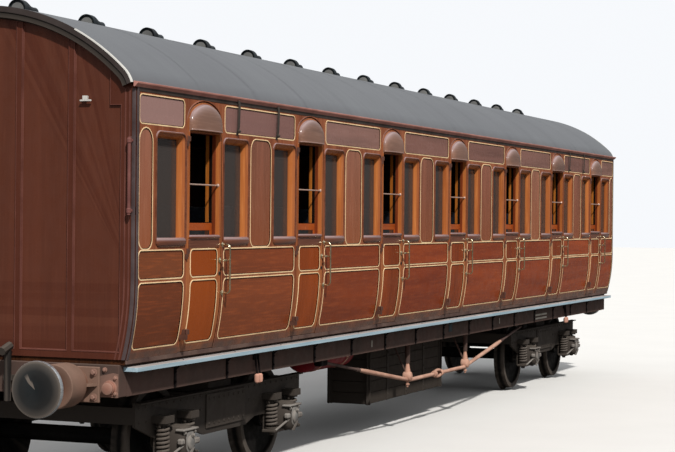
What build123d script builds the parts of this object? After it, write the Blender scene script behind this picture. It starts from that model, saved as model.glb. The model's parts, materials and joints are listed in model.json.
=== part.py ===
from build123d import *
import math
import os

# A wooden-bodied passenger coach on two four-wheeled bogies, seven compartments long.
# X runs along the coach, Y across it and Z up. The photographed side faces -Y.
# Lengths are millimetres. Heights in this file are above the rail's top: the finished
# solids are raised by the flange depth, so that the flanges' tips stand at Z = 0.

# Wheels, and the floor that clears them
WHEEL_DIAMETER = 940.0
FLANGE = 28.0
WHEEL_ROOM = 92.0
BEARER_DEEP = 150.0
FLOOR_THICK = 40.0
AXLE_HEIGHT = WHEEL_DIAMETER / 2
BEARER_BOTTOM = WHEEL_DIAMETER + FLANGE + WHEEL_ROOM
FLOOR_BOTTOM = BEARER_BOTTOM + BEARER_DEEP
SIDE_BOTTOM = FLOOR_BOTTOM + FLOOR_THICK

# Body: heights above the floor, and its width and length
COMPARTMENTS = 7
COMPARTMENT = 2235.0
END_BEYOND = 47.0
BODY_WIDTH = 2743.0
TURN_RISE = 580.0
TURN_RADIUS = 2260.0
CANTRAIL_RISE = 1785.0
CANTRAIL_TALL = 339.0
WALL = 75.0
PARTITION = 40.0
SEAT_FIT = 0.3
CUT_ROOM = 10.0
HALF_WIDTH = BODY_WIDTH / 2
BODY_HALF = COMPARTMENTS * COMPARTMENT / 2 + END_BEYOND
TURN_TOP = SIDE_BOTTOM + TURN_RISE
CANTRAIL_BOTTOM = SIDE_BOTTOM + CANTRAIL_RISE
CANTRAIL_TOP = CANTRAIL_BOTTOM + CANTRAIL_TALL
DOOR_CENTRES = [(k - (COMPARTMENTS - 1) / 2) * COMPARTMENT for k in range(COMPARTMENTS)]
PARTITIONS = [(k - COMPARTMENTS / 2) * COMPARTMENT for k in range(1, COMPARTMENTS)]

# Roof: one crown arc with a small shoulder arc at each eave, both worked out from the rise
ROOF_RISE = 626.0
SHOULDER_RADIUS = 260.0
SHOULDER_DROP = 82.6
ROOF_SPREAD = 3.5
ROOF_THICK = 32.0
ROOF_OVERHANG = 55.0
ROOF_BOARD_DEEP = 84.0
ROOF_BOARD_THICK = 12.0
RIDGE = CANTRAIL_TOP + ROOF_RISE
SHOULDER_Y = HALF_WIDTH + ROOF_SPREAD - SHOULDER_RADIUS
SHOULDER_Z = CANTRAIL_TOP - SHOULDER_DROP
CROWN_RISE = RIDGE - SHOULDER_Z
CROWN_FALL = CROWN_RISE - SHOULDER_RADIUS
CROWN_RADIUS = (SHOULDER_Y ** 2 + CROWN_RISE ** 2 - SHOULDER_RADIUS ** 2) / (2 * CROWN_FALL)
CROWN_Z = RIDGE - CROWN_RADIUS
VENT_RADIUS = 85.0
VENT_SIDES = 16
VENT_HALF = 135.0
VENT_LIFT = 30.0

# Gutter moulding along each eave
GUTTER_DROP = 36.0
GUTTER_TALL = 38.0
GUTTER_OUT = 38.0
GUTTER_FOOT = 12.0
GUTTER_LIP = 14.0
COVE = 4.0

# Doors, hung on the left edge as seen from outside
DOOR_HALF = 315.0
DOOR_GAP = 9.0
ARCH_GAP = 10.0
DOOR_FOOT_GAP = 6.0
DOOR_HEAD = 84.0
DOOR_THICK = 62.0
ARCH_RISE = 190.0
ARCH_CORNER = 150.0
LIGHT_HALF = 278.0
LIGHT_SILL = 930.0
BEVEL = 14.0
BEVEL_DEPTH = 131.0
DOOR_BOTTOM = SIDE_BOTTOM + DOOR_FOOT_GAP
DOOR_TOP = CANTRAIL_TOP - DOOR_HEAD
LIGHT_BOTTOM = SIDE_BOTTOM + LIGHT_SILL

# The lowered sash behind each door's leaf, of which the top shows in the window
SASH_OVER = 118.0
SASH_BELOW = 60.0
SASH_THICK = 18.0
SASH_LAP = 2.0
SASH_ROOM = 6.0

# The bulging ventilator hood over each door's window
HOOD_MARGIN = 18.0
HOOD_TALL = 210.0
HOOD_SEAT = 22.0
HOOD_HALF = 282.0
HOOD_RISE = 172.0
HOOD_CORNER = 130.0
HOOD_OUT = 44.0
HOOD_LEAN = 40.0
HOOD_BOTTOM = DOOR_TOP - HOOD_MARGIN - HOOD_TALL
LIGHT_TOP = HOOD_BOTTOM - HOOD_SEAT

# Hinges: barrels on a line outside the body, with a neck each way
HINGE_OUT = 14.0
HINGE_TALL = 80.0
HINGE_SPLIT = 0.3
HINGE_LOW = 150.0
HINGE_WAIST = 800.0
HINGE_HEAD = 75.0
KNUCKLE_RADIUS = 9.0
NECK_START = 6.0
NECK_END = 30.0
HINGE_X = -DOOR_HALF - DOOR_GAP / 2
HINGE_HEIGHTS = (SIDE_BOTTOM + HINGE_LOW, SIDE_BOTTOM + HINGE_WAIST, CANTRAIL_BOTTOM - HINGE_HEAD)

# Fixed windows beside each door, and their panes
PILLAR = 85.0
WINDOW_WIDE = 417.0
WINDOW_DROP = 12.0
WINDOW_HEAD = 60.0
PANE = 6.0
PANE_INSET = 52.0
WINDOW_NEAR = DOOR_HALF + PILLAR
WINDOW_FAR = WINDOW_NEAR + WINDOW_WIDE
WINDOW_BOTTOM = LIGHT_BOTTOM - WINDOW_DROP
WINDOW_TOP = CANTRAIL_BOTTOM - WINDOW_HEAD

# Bogies
BOGIE_BACK = 2479.5
WHEELBASE = 2210.0
BACK_TO_BACK = 1362.0
TYRE_WIDTH = 127.0
FLANGE_THICK = 32.0
TREAD_FALL = 6.0
RIM_DEEP = 68.0
WEB_SUNK = 34.0
HUB_RADIUS = 120.0
HUB_OUT = 830.0
AXLE_RADIUS = 72.0
JOURNAL_RADIUS = 60.0
JOURNAL_END = 1085.0
JOURNAL_GAP = 0.8
PLATE_IN = 930.0
PLATE_THICK = 25.0
PLATE_RISE = 360.0
PLATE_DEEP = 330.0
PLATE_END_DEEP = 200.0
APRON_TOP_HALF = 640.0
APRON_LOW_HALF = 430.0
APRON_DROP = 60.0
HORN_DROP = 130.0
HORN_HALF = 130.0
HORN_WIDE = 90.0
HORN_RISE = 170.0
BOX_HALF = 125.0
BOX_TALL = 280.0
BOX_OUT = 1130.0
BOX_BACK = 5.0
BOX_TAPER = 30.0
CAP_OVER = 16.0
CAP_LOW = 45.0
CAP_PEAK = 18.0
WING_HALF = 310.0
WING_THICK = 30.0
SPRING_OFF = 230.0
SPRING_RADIUS = 62.0
SPRING_SIDES = 12
SPRING_Y = 1025.0
SEAT_HALF_ACROSS = 68.0
CAP_HALF = 75.0
CAP_TALL = 60.0
TRANSOM_IN = 230.0
TRANSOM_THICK = 80.0
TRANSOM_RISE = 90.0
TRANSOM_TALL = 230.0
END_BEAM_GAP = 17.0
END_BEAM_THICK = 70.0
END_BEAM_TALL = 140.0
BOLSTER_RISE = 130.0
BOLSTER_TALL = 280.0
BOLSTER_HALF = 900.0
PIVOT_RADIUS = 150.0
BEARING_Y = 760.0
BEARING_HALF_LONG = 45.0
BEARING_HALF_WIDE = 60.0
BOGIE_PLACE = BODY_HALF - BOGIE_BACK
PLATE_TOP = AXLE_HEIGHT + PLATE_RISE
PLATE_BOTTOM = PLATE_TOP - PLATE_DEEP
HORN_BOTTOM = AXLE_HEIGHT - HORN_DROP
HORN_TOP = AXLE_HEIGHT + HORN_RISE
TRANSOM_BOTTOM = AXLE_HEIGHT + TRANSOM_RISE
TRANSOM_TOP = TRANSOM_BOTTOM + TRANSOM_TALL
BOLSTER_BOTTOM = AXLE_HEIGHT + BOLSTER_RISE
BOLSTER_TOP = BOLSTER_BOTTOM + BOLSTER_TALL
END_BEAM_IN = WHEELBASE / 2 + AXLE_HEIGHT + FLANGE + END_BEAM_GAP
PLATE_HALF = END_BEAM_IN + END_BEAM_THICK

# Underframe
SOLEBAR_BACK = 121.5
SOLEBAR_THICK = 120.0
SOLEBAR_DEEP = 250.0
FLOOR_EDGE = 5.0
HEADSTOCK_OUT = 25.0
HEADSTOCK_THICK = 130.0
NUT_RADIUS = 48.0
NUT_THICK = 55.0
NUT_IN = 105.0
BEARER_THICK = 100.0
BEARER_STEP = 1000.0
BEARER_TO_ROD = 100.0
BEARER_OVER_AXLE = 1110.0
LONGITUDINAL_Y = 420.0
LONGITUDINAL_THICK = 90.0
FOOTBOARD_DROP = 70.0
FOOTBOARD_THICK = 44.0
FOOTBOARD_SHORT = 20.0
BRACKET_PITCH = 950.0
BRACKET_THICK = 14.0
BRACKET_DEEP = 120.0
BRACKET_SHORT = 20.0
BRACKET_TIP = 12.0
LINK_SPACING = 62.0
LINK_RADIUS = 9.0
LINK_SHOE = 26.0
LINK_SHOE_TALL = 90.0
SOLEBAR_OUT = HALF_WIDTH - SOLEBAR_BACK
SOLEBAR_IN = SOLEBAR_OUT - SOLEBAR_THICK
SOLEBAR_BOTTOM = FLOOR_BOTTOM - SOLEBAR_DEEP
HEADSTOCK_FACE = BODY_HALF + HEADSTOCK_OUT
HEADSTOCK_BACK = HEADSTOCK_FACE - HEADSTOCK_THICK
FOOTBOARD_TOP = SIDE_BOTTOM - FOOTBOARD_DROP
FOOTBOARD_BOTTOM = FOOTBOARD_TOP - FOOTBOARD_THICK

# Truss under each solebar
POST_PLACE = 1050.0
POST_RADIUS = 28.0
POST_NECK = 15.0
POST_FOOT = 35.0
NECK_TOP = 150.0
POST_PLATE_HALF = 70.0
POST_PLATE_WIDE = 45.0
POST_PLATE_THICK = 20.0
ROD_RADIUS = 22.0
ROD_SIDES = 12
ROD_TO_BOGIE = 1790.0
ROD_DROP = 405.0
ANCHOR_DROP = 30.0
ANCHOR_HALF = 90.0
ANCHOR_WIDE = 40.0
ANCHOR_DEEP = 70.0
TRUSS_BACK = 105.0
BOSS_RADIUS = 54.0
BOSS_SIDES = 16
BOSS_HALF = 42.0
BOSS_LIFT = 45.0
PIN_DROP = 75.0
PIN_RADIUS = 14.0
BRACE_RADIUS = 11.0
BRACE_REACH = 225.0
TURNBUCKLE_HALF = 115.0
TURNBUCKLE_TALL = 84.0
TURNBUCKLE_THICK = 60.0
TURNBUCKLE_SLOT = 34.0
TRUSS_Y = SOLEBAR_OUT - TRUSS_BACK
ROD_END = BOGIE_PLACE - ROD_TO_BOGIE
ROD_LOW = SOLEBAR_BOTTOM - ROD_DROP

# Reservoir and battery box, hung between the bogies on the photographed side
TANK_TO_BOGIE = 2615.0
TANK_HALF = 550.0
TANK_RADIUS = 190.0
TANK_DOME = 40.0
TANK_DROP = 235.0
TANK_Y = 800.0
STRAP_OFF = 325.0
STRAP_HALF_LONG = 25.0
STRAP_HALF_WIDE = 80.0
BATTERY_GAP = 625.0
BATTERY_LONG = 2450.0
BATTERY_IN = 430.0
BATTERY_OUT = 880.0
BATTERY_DEEP = 690.0
LID_OUT = 12.0
LID_TALL = 60.0
TANK_X = -(BOGIE_PLACE - TANK_TO_BOGIE)
BATTERY_START = TANK_X + TANK_HALF + BATTERY_GAP

# Buffers, drawgear and brake pipe
BUFFER_Y = 870.0
BUFFER_HEIGHT = 1054.0
BUFFER_LENGTH = 585.0
BUFFER_HEAD_RADIUS = 215.0
BUFFER_HEAD_THICK = 38.0
HEAD_DOME = 16.0
HEAD_FLAT = 60.0
HEAD_BACK = 30.0
BASE_HALF = 165.0
BASE_THICK = 30.0
NECK_RADIUS = 118.0
DRUM_RADIUS = 172.0
DRUM_START = 90.0
DRUM_FLARE = 22.0
DRUM_END = 330.0
RIB_HALF = 9.0
RAM_RADIUS = 90.0
HOOK_THICK = 50.0
HOOK_EYE_RADIUS = 22.0
HOOK_EYE_PLACE = 120.0
HOOK_PLATE = 20.0
HOOK_PLATE_WIDE = 140.0
HOOK_PLATE_TALL = 110.0
SHANK_HALF = 60.0
SHANK_LONG = 150.0
THROAT_DEEP = 40.0
HOOK_LONG = 330.0
HOOK_LOW = 110.0
PIPE_OUT = 60.0
PIPE_Y = 300.0
PIPE_RADIUS = 28.0
PIPE_BELOW = 154.0
PIPE_ABOVE = 276.0
GLAND_OUT = 90.0
GLAND_FALL = 40.0
GLAND_RADIUS = 34.0
CLIP_HALF = 40.0
CLIP_LIFT = 6.0

# Seats, in facing pairs
SEAT_BASE_RISE = 310.0
SEAT_RISE = 450.0
SEAT_DEEP = 610.0
SEAT_NOSE = 40.0
SEAT_ROOM = 28.2
BACK_THICK = 130.0
BACK_RISE = 1230.0
RACK_DROP = 85.0
RACK_DEEP = 300.0
RACK_THICK = 12.0

# Handles and end handrails
HANDLE_OFF = 30.0
HANDLE_RISE = 540.0
HANDLE_TALL = 310.0
HANDLE_OUT = 62.0
HANDLE_RADIUS = 9.0
RAIL_IN = 81.5
RAIL_RISE = 1150.0
RAIL_TALL = 555.0
RAIL_OUT = 60.0
RAIL_RADIUS = 13.0
RAIL_FOOT = 30.0


# Helpers
def block(x0, x1, y0, y1, z0, z1):
    """A box between two values on each axis."""
    centre = Pos((x0 + x1) / 2, (y0 + y1) / 2, (z0 + z1) / 2)
    return centre * Box(x1 - x0, y1 - y0, z1 - z0)


def turned(piece):
    """The same piece on the other side, turned half round about the middle."""
    return Rot(0, 0, 180) * piece


def both(pieces):
    """A list of pieces, and the same pieces turned half round."""
    return list(pieces) + [turned(piece) for piece in pieces]


def prism(face, x0, x1):
    """A face in the plane X = 0, drawn out between two places along the coach."""
    return Pos(x0, 0, 0) * extrude(face, amount=x1 - x0, dir=(1, 0, 0))


def side_at(height, inset=0.0):
    """How far the side's face is from the centre plane, with its turn-under."""
    drop = max(0.0, TURN_TOP - height)
    return HALF_WIDTH - TURN_RADIUS + math.sqrt((TURN_RADIUS - inset) ** 2 - drop ** 2)


def near_point(height, inset):
    """A point of the photographed side's cross-section."""
    return Vector(0, -side_at(height, inset), height)


def wall_face(bottom, top, outer, inner):
    """Cross-section of the photographed side between two heights and two insets."""
    middle = (bottom + TURN_TOP) / 2
    outline = Wire([
        ThreePointArc(near_point(bottom, outer), near_point(middle, outer), near_point(TURN_TOP, outer)),
        Line(near_point(TURN_TOP, outer), near_point(top, outer)),
        Line(near_point(top, outer), near_point(top, inner)),
        Line(near_point(top, inner), near_point(TURN_TOP, inner)),
        ThreePointArc(near_point(TURN_TOP, inner), near_point(middle, inner), near_point(bottom, inner)),
        Line(near_point(bottom, inner), near_point(bottom, outer)),
    ])
    return Face(outline)


def arch_face(half, bottom, top, rise, corner):
    """An outline in the plane Y = 0 with upright sides and a three-centred arch on top."""
    crown = ((half - corner) ** 2 + rise ** 2 - corner ** 2) / (2 * (rise - corner))
    turn = math.atan2(crown - rise, half - corner)
    spring = top - rise
    meet_x = crown * math.cos(turn)
    meet_z = top - crown + crown * math.sin(turn)
    mid_x = half - corner + corner * math.cos(turn / 2)
    mid_z = spring + corner * math.sin(turn / 2)
    outline = Wire([
        Line((-half, 0, bottom), (half, 0, bottom)),
        Line((half, 0, bottom), (half, 0, spring)),
        ThreePointArc((half, 0, spring), (mid_x, 0, mid_z), (meet_x, 0, meet_z)),
        ThreePointArc((meet_x, 0, meet_z), (0, 0, top), (-meet_x, 0, meet_z)),
        ThreePointArc((-meet_x, 0, meet_z), (-mid_x, 0, mid_z), (-half, 0, spring)),
        Line((-half, 0, spring), (-half, 0, bottom)),
    ])
    return Face(outline)


def arch_prism(half, bottom, top, rise, corner, y0, y1):
    """The arched outline drawn out across the coach."""
    return Pos(0, y0, 0) * extrude(arch_face(half, bottom, top, rise, corner), amount=y1 - y0, dir=(0, 1, 0))


def bar(start, end, radius, sides=8):
    """A straight bar between two points, round but for its flats."""
    a = Vector(start)
    b = Vector(end)
    return Plane(origin=a, z_dir=b - a) * extrude(RegularPolygon(radius, sides), amount=(b - a).length)


def shoulder_height(y, inset):
    """Height of the shoulder arc at a distance from the centre plane."""
    return SHOULDER_Z + math.sqrt((SHOULDER_RADIUS - inset) ** 2 - (y - SHOULDER_Y) ** 2)


def shoulder_width(height, inset):
    """Distance of the shoulder arc from the centre plane at a height."""
    return SHOULDER_Y + math.sqrt((SHOULDER_RADIUS - inset) ** 2 - (height - SHOULDER_Z) ** 2)


def roof_arcs(y, z, inset):
    """The roof's arcs from one eave at (y, z) over the ridge to the other."""
    lean = math.atan2(SHOULDER_Z - CROWN_Z, SHOULDER_Y)
    start = math.atan2(z - SHOULDER_Z, y - SHOULDER_Y)
    radius = SHOULDER_RADIUS - inset
    middle = (start + lean) / 2
    meet = (SHOULDER_Y + radius * math.cos(lean), SHOULDER_Z + radius * math.sin(lean))
    mid = (SHOULDER_Y + radius * math.cos(middle), SHOULDER_Z + radius * math.sin(middle))
    return [
        ThreePointArc((0, y, z), (0, mid[0], mid[1]), (0, meet[0], meet[1])),
        ThreePointArc((0, meet[0], meet[1]), (0, 0, RIDGE - inset), (0, -meet[0], meet[1])),
        ThreePointArc((0, -meet[0], meet[1]), (0, -mid[0], mid[1]), (0, -y, z)),
    ]


def across_face(inset, roof_inset, stepped):
    """A whole cross-section of the body, from floor level up to the roof's underside."""
    middle = (SIDE_BOTTOM + TURN_TOP) / 2
    low = side_at(SIDE_BOTTOM, inset)
    mid = side_at(middle, inset)
    wide = side_at(TURN_TOP, inset)
    edges = [Line((0, -low, SIDE_BOTTOM), (0, low, SIDE_BOTTOM))]
    edges.append(ThreePointArc((0, low, SIDE_BOTTOM), (0, mid, middle), (0, wide, TURN_TOP)))
    if stepped:
        eave = shoulder_width(CANTRAIL_TOP, roof_inset)
        top = CANTRAIL_TOP
        edges.append(Line((0, wide, TURN_TOP), (0, wide, top)))
        edges.append(Line((0, wide, top), (0, eave, top)))
        edges += roof_arcs(eave, top, roof_inset)
        edges.append(Line((0, -eave, top), (0, -wide, top)))
    else:
        top = shoulder_height(wide, roof_inset)
        edges.append(Line((0, wide, TURN_TOP), (0, wide, top)))
        edges += roof_arcs(wide, top, roof_inset)
    edges.append(Line((0, -wide, top), (0, -wide, TURN_TOP)))
    edges.append(ThreePointArc((0, -wide, TURN_TOP), (0, -mid, middle), (0, -low, SIDE_BOTTOM)))
    return Face(Wire(edges))


# Body sides: one panel of wall between each pair of doors, with its two windows
def window_span(centre, sign):
    """The two ends along the coach of the fixed window on one side of a door's centre."""
    return sorted((centre + sign * WINDOW_NEAR, centre + sign * WINDOW_FAR))


def window_hole(centre, sign):
    """The cut for one fixed window."""
    x0, x1 = window_span(centre, sign)
    return block(x0, x1, -HALF_WIDTH - CUT_ROOM, -HALF_WIDTH + WALL + CUT_ROOM, WINDOW_BOTTOM, WINDOW_TOP)


def side_panels():
    """The wall panels of the photographed side, from one end to the other."""
    reach = DOOR_HALF + DOOR_GAP
    inner_end = BODY_HALF - WALL
    starts = [-inner_end] + [centre + reach for centre in DOOR_CENTRES]
    ends = [centre - reach for centre in DOOR_CENTRES] + [inner_end]
    section = wall_face(SIDE_BOTTOM, CANTRAIL_BOTTOM, 0, WALL)
    panels = []
    for index, (x0, x1) in enumerate(zip(starts, ends)):
        panel = prism(section, x0, x1)
        if index > 0:
            panel -= window_hole(DOOR_CENTRES[index - 1], 1)
        if index < COMPARTMENTS:
            panel -= window_hole(DOOR_CENTRES[index], -1)
        panels.append(panel)
    return panels


def window_panes():
    """The fixed panes of the photographed side, each seated in its frame's opening."""
    panes = []
    for centre in DOOR_CENTRES:
        for sign in (-1, 1):
            x0, x1 = window_span(centre, sign)
            panes.append(block(
                x0 + SEAT_FIT, x1 - SEAT_FIT, -HALF_WIDTH + PANE_INSET, -HALF_WIDTH + PANE_INSET + PANE,
                WINDOW_BOTTOM + SEAT_FIT, WINDOW_TOP - SEAT_FIT,
            ))
    return panes


def cantrail():
    """The rail over the doors and windows of the photographed side."""
    inner_end = BODY_HALF - WALL
    rail = block(-inner_end, inner_end, -HALF_WIDTH, -HALF_WIDTH + WALL, CANTRAIL_BOTTOM, CANTRAIL_TOP)
    for centre in DOOR_CENTRES:
        rail -= Pos(centre, 0, 0) * arch_prism(
            DOOR_HALF + DOOR_GAP, CANTRAIL_BOTTOM - CUT_ROOM, DOOR_TOP + ARCH_GAP, ARCH_RISE + ARCH_GAP,
            ARCH_CORNER + ARCH_GAP, -HALF_WIDTH - CUT_ROOM, -HALF_WIDTH + WALL + CUT_ROOM,
        )
    return rail


def gutter():
    """The coved moulding along the eave of the photographed side."""
    reach = BODY_HALF + ROOF_OVERHANG
    low = CANTRAIL_TOP - GUTTER_DROP
    lip = low + GUTTER_TALL - GUTTER_LIP
    wall = -HALF_WIDTH
    foot = wall - GUTTER_FOOT
    out = wall - GUTTER_OUT
    section = Face(Wire([
        Line((0, wall, low), (0, foot, low)),
        ThreePointArc((0, foot, low), (0, (foot + out) / 2 + COVE, (low + lip) / 2 + COVE), (0, out, lip)),
        Line((0, out, lip), (0, out, low + GUTTER_TALL)),
        Line((0, out, low + GUTTER_TALL), (0, wall, low + GUTTER_TALL)),
        Line((0, wall, low + GUTTER_TALL), (0, wall, low)),
    ]))
    return prism(section, -reach, reach)


# Roof, ends and partitions
def roof_face(thick):
    """The arched section between the roof's outside and a depth below it."""
    outer = shoulder_width(CANTRAIL_TOP, 0)
    inner = shoulder_width(CANTRAIL_TOP, thick)
    edges = roof_arcs(outer, CANTRAIL_TOP, 0) + roof_arcs(inner, CANTRAIL_TOP, thick)
    edges.append(Line((0, outer, CANTRAIL_TOP), (0, inner, CANTRAIL_TOP)))
    edges.append(Line((0, -outer, CANTRAIL_TOP), (0, -inner, CANTRAIL_TOP)))
    return Face(Wire(edges))


def roof():
    """The arched roof, a shell that overhangs each end, with a deeper board across its edge."""
    reach = BODY_HALF + ROOF_OVERHANG
    shell = prism(roof_face(ROOF_THICK), -reach, reach)
    board = prism(roof_face(ROOF_BOARD_DEEP), reach - ROOF_BOARD_THICK, reach)
    return shell + board + turned(board)


def roof_vents():
    """Torpedo ventilators along the ridge, two over each compartment."""
    vents = []
    height = RIDGE + VENT_LIFT
    for centre in DOOR_CENTRES:
        for sign in (-1, 1):
            x = centre + sign * COMPARTMENT / 4
            vents.append(bar((x - VENT_HALF, 0, height), (x + VENT_HALF, 0, height), VENT_RADIUS, VENT_SIDES))
    cutter = prism(across_face(0, 0, True), -BODY_HALF, BODY_HALF)
    return [vent - cutter for vent in vents]


def end_walls():
    """The two end walls, as wide as the body."""
    wall = prism(across_face(0, ROOF_THICK + SEAT_FIT, True), BODY_HALF - WALL, BODY_HALF)
    return both([wall])


def partitions():
    """The full-height partitions between the compartments."""
    section = across_face(WALL + SEAT_FIT, ROOF_THICK + SEAT_FIT, False)
    return [prism(section, x - PARTITION / 2, x + PARTITION / 2) for x in PARTITIONS]


# Seats stand with their backs to each partition and end wall
def seat_lines():
    """Each place where a seat's back starts, with the way that the seat faces."""
    lines = [(-BODY_HALF + WALL, 1)]
    for x in PARTITIONS:
        lines.append((x - PARTITION / 2, -1))
        lines.append((x + PARTITION / 2, 1))
    lines.append((BODY_HALF - WALL, -1))
    return lines


def seat_parts(deep0, deep1, z0, z1):
    """A like block on every seat, between two distances from the wall behind it."""
    half = side_at(SIDE_BOTTOM, WALL) - SEAT_ROOM
    parts = []
    for x, way in seat_lines():
        x0, x1 = sorted((x + way * deep0, x + way * deep1))
        parts.append(block(x0, x1, -half, half, z0, z1))
    return parts


# Doors
def hood():
    """The ventilator hood over a door's window: an arched cover that leans in on all sides."""
    arch = arch_face(HOOD_HALF, HOOD_BOTTOM, HOOD_BOTTOM + HOOD_TALL, HOOD_RISE, HOOD_CORNER)
    return extrude(Pos(0, -HALF_WIDTH, 0) * arch, amount=HOOD_OUT, dir=(0, -1, 0), taper=HOOD_LEAN)


def sash():
    """The top of the lowered window, in its slide behind the leaf."""
    half = LIGHT_HALF - SASH_ROOM
    back = -HALF_WIDTH + DOOR_THICK
    return block(
        -half, half, back - SASH_LAP, back + SASH_THICK, LIGHT_BOTTOM - SASH_BELOW, LIGHT_BOTTOM + SASH_OVER,
    )


def lock_bevel():
    """What the bevel takes off the lock edge, so that the door swings clear."""
    outer = -HALF_WIDTH
    slope = BEVEL / BEVEL_DEPTH
    front = 2 * CUT_ROOM
    deep = 2 * BEVEL_DEPTH
    far = DOOR_HALF + 2 * BEVEL
    face = Face(Wire(Polyline(
        (DOOR_HALF + slope * front, outer - front, 0), (far, outer - front, 0), (far, outer + deep, 0),
        (DOOR_HALF - slope * deep, outer + deep, 0), close=True,
    )))
    low = DOOR_BOTTOM - CUT_ROOM
    return Pos(0, 0, low) * extrude(face, amount=DOOR_TOP + CUT_ROOM - low, dir=(0, 0, 1))


def half_hinge(low, high, way, wall):
    """Half of a hinge: a barrel on the hinge line with a neck back to the wood on one side."""
    y = -HALF_WIDTH - HINGE_OUT
    half = bar((HINGE_X, y, low), (HINGE_X, y, high), KNUCKLE_RADIUS)
    x0, x1 = sorted((HINGE_X, HINGE_X + way * NECK_END))
    half += block(x0, x1, y - KNUCKLE_RADIUS, y, low, high)
    x0, x1 = sorted((HINGE_X + way * NECK_START, HINGE_X + way * NECK_END))
    return half + block(x0, x1, y - KNUCKLE_RADIUS, wall, low, high)


def door():
    """One door of the photographed side, centred at X = 0."""
    behind = -HALF_WIDTH + 2 * BEVEL_DEPTH
    leaf = prism(wall_face(DOOR_BOTTOM, DOOR_TOP, 0, DOOR_THICK), -DOOR_HALF, DOOR_HALF)
    leaf &= arch_prism(
        DOOR_HALF, DOOR_BOTTOM, DOOR_TOP, ARCH_RISE, ARCH_CORNER, -HALF_WIDTH - CUT_ROOM, behind,
    )
    leaf -= block(-LIGHT_HALF, LIGHT_HALF, -HALF_WIDTH - CUT_ROOM, behind, LIGHT_BOTTOM, LIGHT_TOP)
    leaf -= lock_bevel()
    leaf += sash()
    leaf += hood()
    for height in HINGE_HEIGHTS:
        low = height + HINGE_SPLIT / 2
        leaf += half_hinge(low, height + HINGE_TALL / 2, 1, -side_at(low) + KNUCKLE_RADIUS)
    return leaf


def hinge_leaves():
    """The hinges' lower halves, on the pillars of the photographed side."""
    leaves = []
    for height in HINGE_HEIGHTS:
        high = height - HINGE_SPLIT / 2
        half = half_hinge(height - HINGE_TALL / 2, high, -1, -side_at(high))
        leaves += [Pos(centre, 0, 0) * half for centre in DOOR_CENTRES]
    return leaves


# Underframe
def solebars():
    """The two long side members."""
    end = HEADSTOCK_BACK
    return both([block(-end, end, -SOLEBAR_OUT, -SOLEBAR_IN, SOLEBAR_BOTTOM, FLOOR_BOTTOM)])


def headstocks():
    """The two end members that carry the buffers, with the nuts of the long tie rods."""
    beam = block(HEADSTOCK_BACK, HEADSTOCK_FACE, -SOLEBAR_OUT, SOLEBAR_OUT, SOLEBAR_BOTTOM, FLOOR_BOTTOM)
    height = (SOLEBAR_BOTTOM + FLOOR_BOTTOM) / 2
    for y in (-SOLEBAR_OUT + NUT_IN, SOLEBAR_OUT - NUT_IN):
        beam += bar((HEADSTOCK_FACE, y, height), (HEADSTOCK_FACE + NUT_THICK, y, height), NUT_RADIUS)
    return both([beam])


def bearer_places():
    """Where the cross bearers are, along the coach."""
    places = (
        POST_PLACE, POST_PLACE + BEARER_STEP, ROD_END - BEARER_TO_ROD,
        BOGIE_PLACE, BOGIE_PLACE + BEARER_OVER_AXLE,
    )
    return sorted([0.0] + [sign * x for x in places for sign in (-1, 1)])


def cross_bearers():
    """The cross members between the solebars."""
    half = BEARER_THICK / 2
    bearer = block(-half, half, -SOLEBAR_IN, SOLEBAR_IN, BEARER_BOTTOM, FLOOR_BOTTOM)
    return [Pos(x, 0, 0) * bearer for x in bearer_places()]


def longitudinals():
    """The short lengthwise members between the cross bearers and the headstocks."""
    half = BEARER_THICK / 2
    places = bearer_places()
    starts = [-HEADSTOCK_BACK] + [x + half for x in places]
    ends = [x - half for x in places] + [HEADSTOCK_BACK]
    y0 = LONGITUDINAL_Y - LONGITUDINAL_THICK / 2
    y1 = LONGITUDINAL_Y + LONGITUDINAL_THICK / 2
    return both([block(x0, x1, -y1, -y0, BEARER_BOTTOM, FLOOR_BOTTOM) for x0, x1 in zip(starts, ends)])


def floor():
    """The floor, on which the walls stand."""
    edge = side_at(SIDE_BOTTOM) - FLOOR_EDGE
    return block(-BODY_HALF, BODY_HALF, -edge, edge, FLOOR_BOTTOM, SIDE_BOTTOM)


def footboards():
    """The long footboard on each side, flush with the body's widest line."""
    reach = BODY_HALF - FOOTBOARD_SHORT
    return both([block(-reach, reach, -HALF_WIDTH, -SOLEBAR_OUT, FOOTBOARD_BOTTOM, FOOTBOARD_TOP)])


def footboard_brackets():
    """The triangular brackets under the photographed side's footboard."""
    tip = -HALF_WIDTH + BRACKET_SHORT
    top = FOOTBOARD_BOTTOM
    face = Face(Wire(Polyline(
        (0, -SOLEBAR_OUT, top), (0, tip, top), (0, tip, top - BRACKET_TIP),
        (0, -SOLEBAR_OUT - BRACKET_TIP, top - BRACKET_DEEP), (0, -SOLEBAR_OUT, top - BRACKET_DEEP),
        close=True,
    )))
    count = int(BODY_HALF // BRACKET_PITCH)
    half = BRACKET_THICK / 2
    return [prism(face, k * BRACKET_PITCH - half, k * BRACKET_PITCH + half) for k in range(-count, count + 1)]


def hanger_links():
    """The pairs of rods on the photographed solebar over each bogie, with their shoes."""
    pieces = []
    y = -SOLEBAR_OUT - LINK_RADIUS
    low = SOLEBAR_BOTTOM - LINK_SHOE_TALL
    for x in (-BOGIE_PLACE, BOGIE_PLACE):
        half = LINK_SPACING / 2
        shoe = block(x - half, x + half, y - LINK_SHOE / 2, y + LINK_SHOE / 2, low, SOLEBAR_BOTTOM)
        for sign in (-1, 1):
            place = x + sign * half
            shoe += bar((place, y, low), (place, y, FOOTBOARD_BOTTOM), LINK_RADIUS)
            shoe += bar((place, y, low), (place, y, SOLEBAR_BOTTOM), LINK_SHOE)
        pieces.append(shoe)
    return pieces


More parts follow.
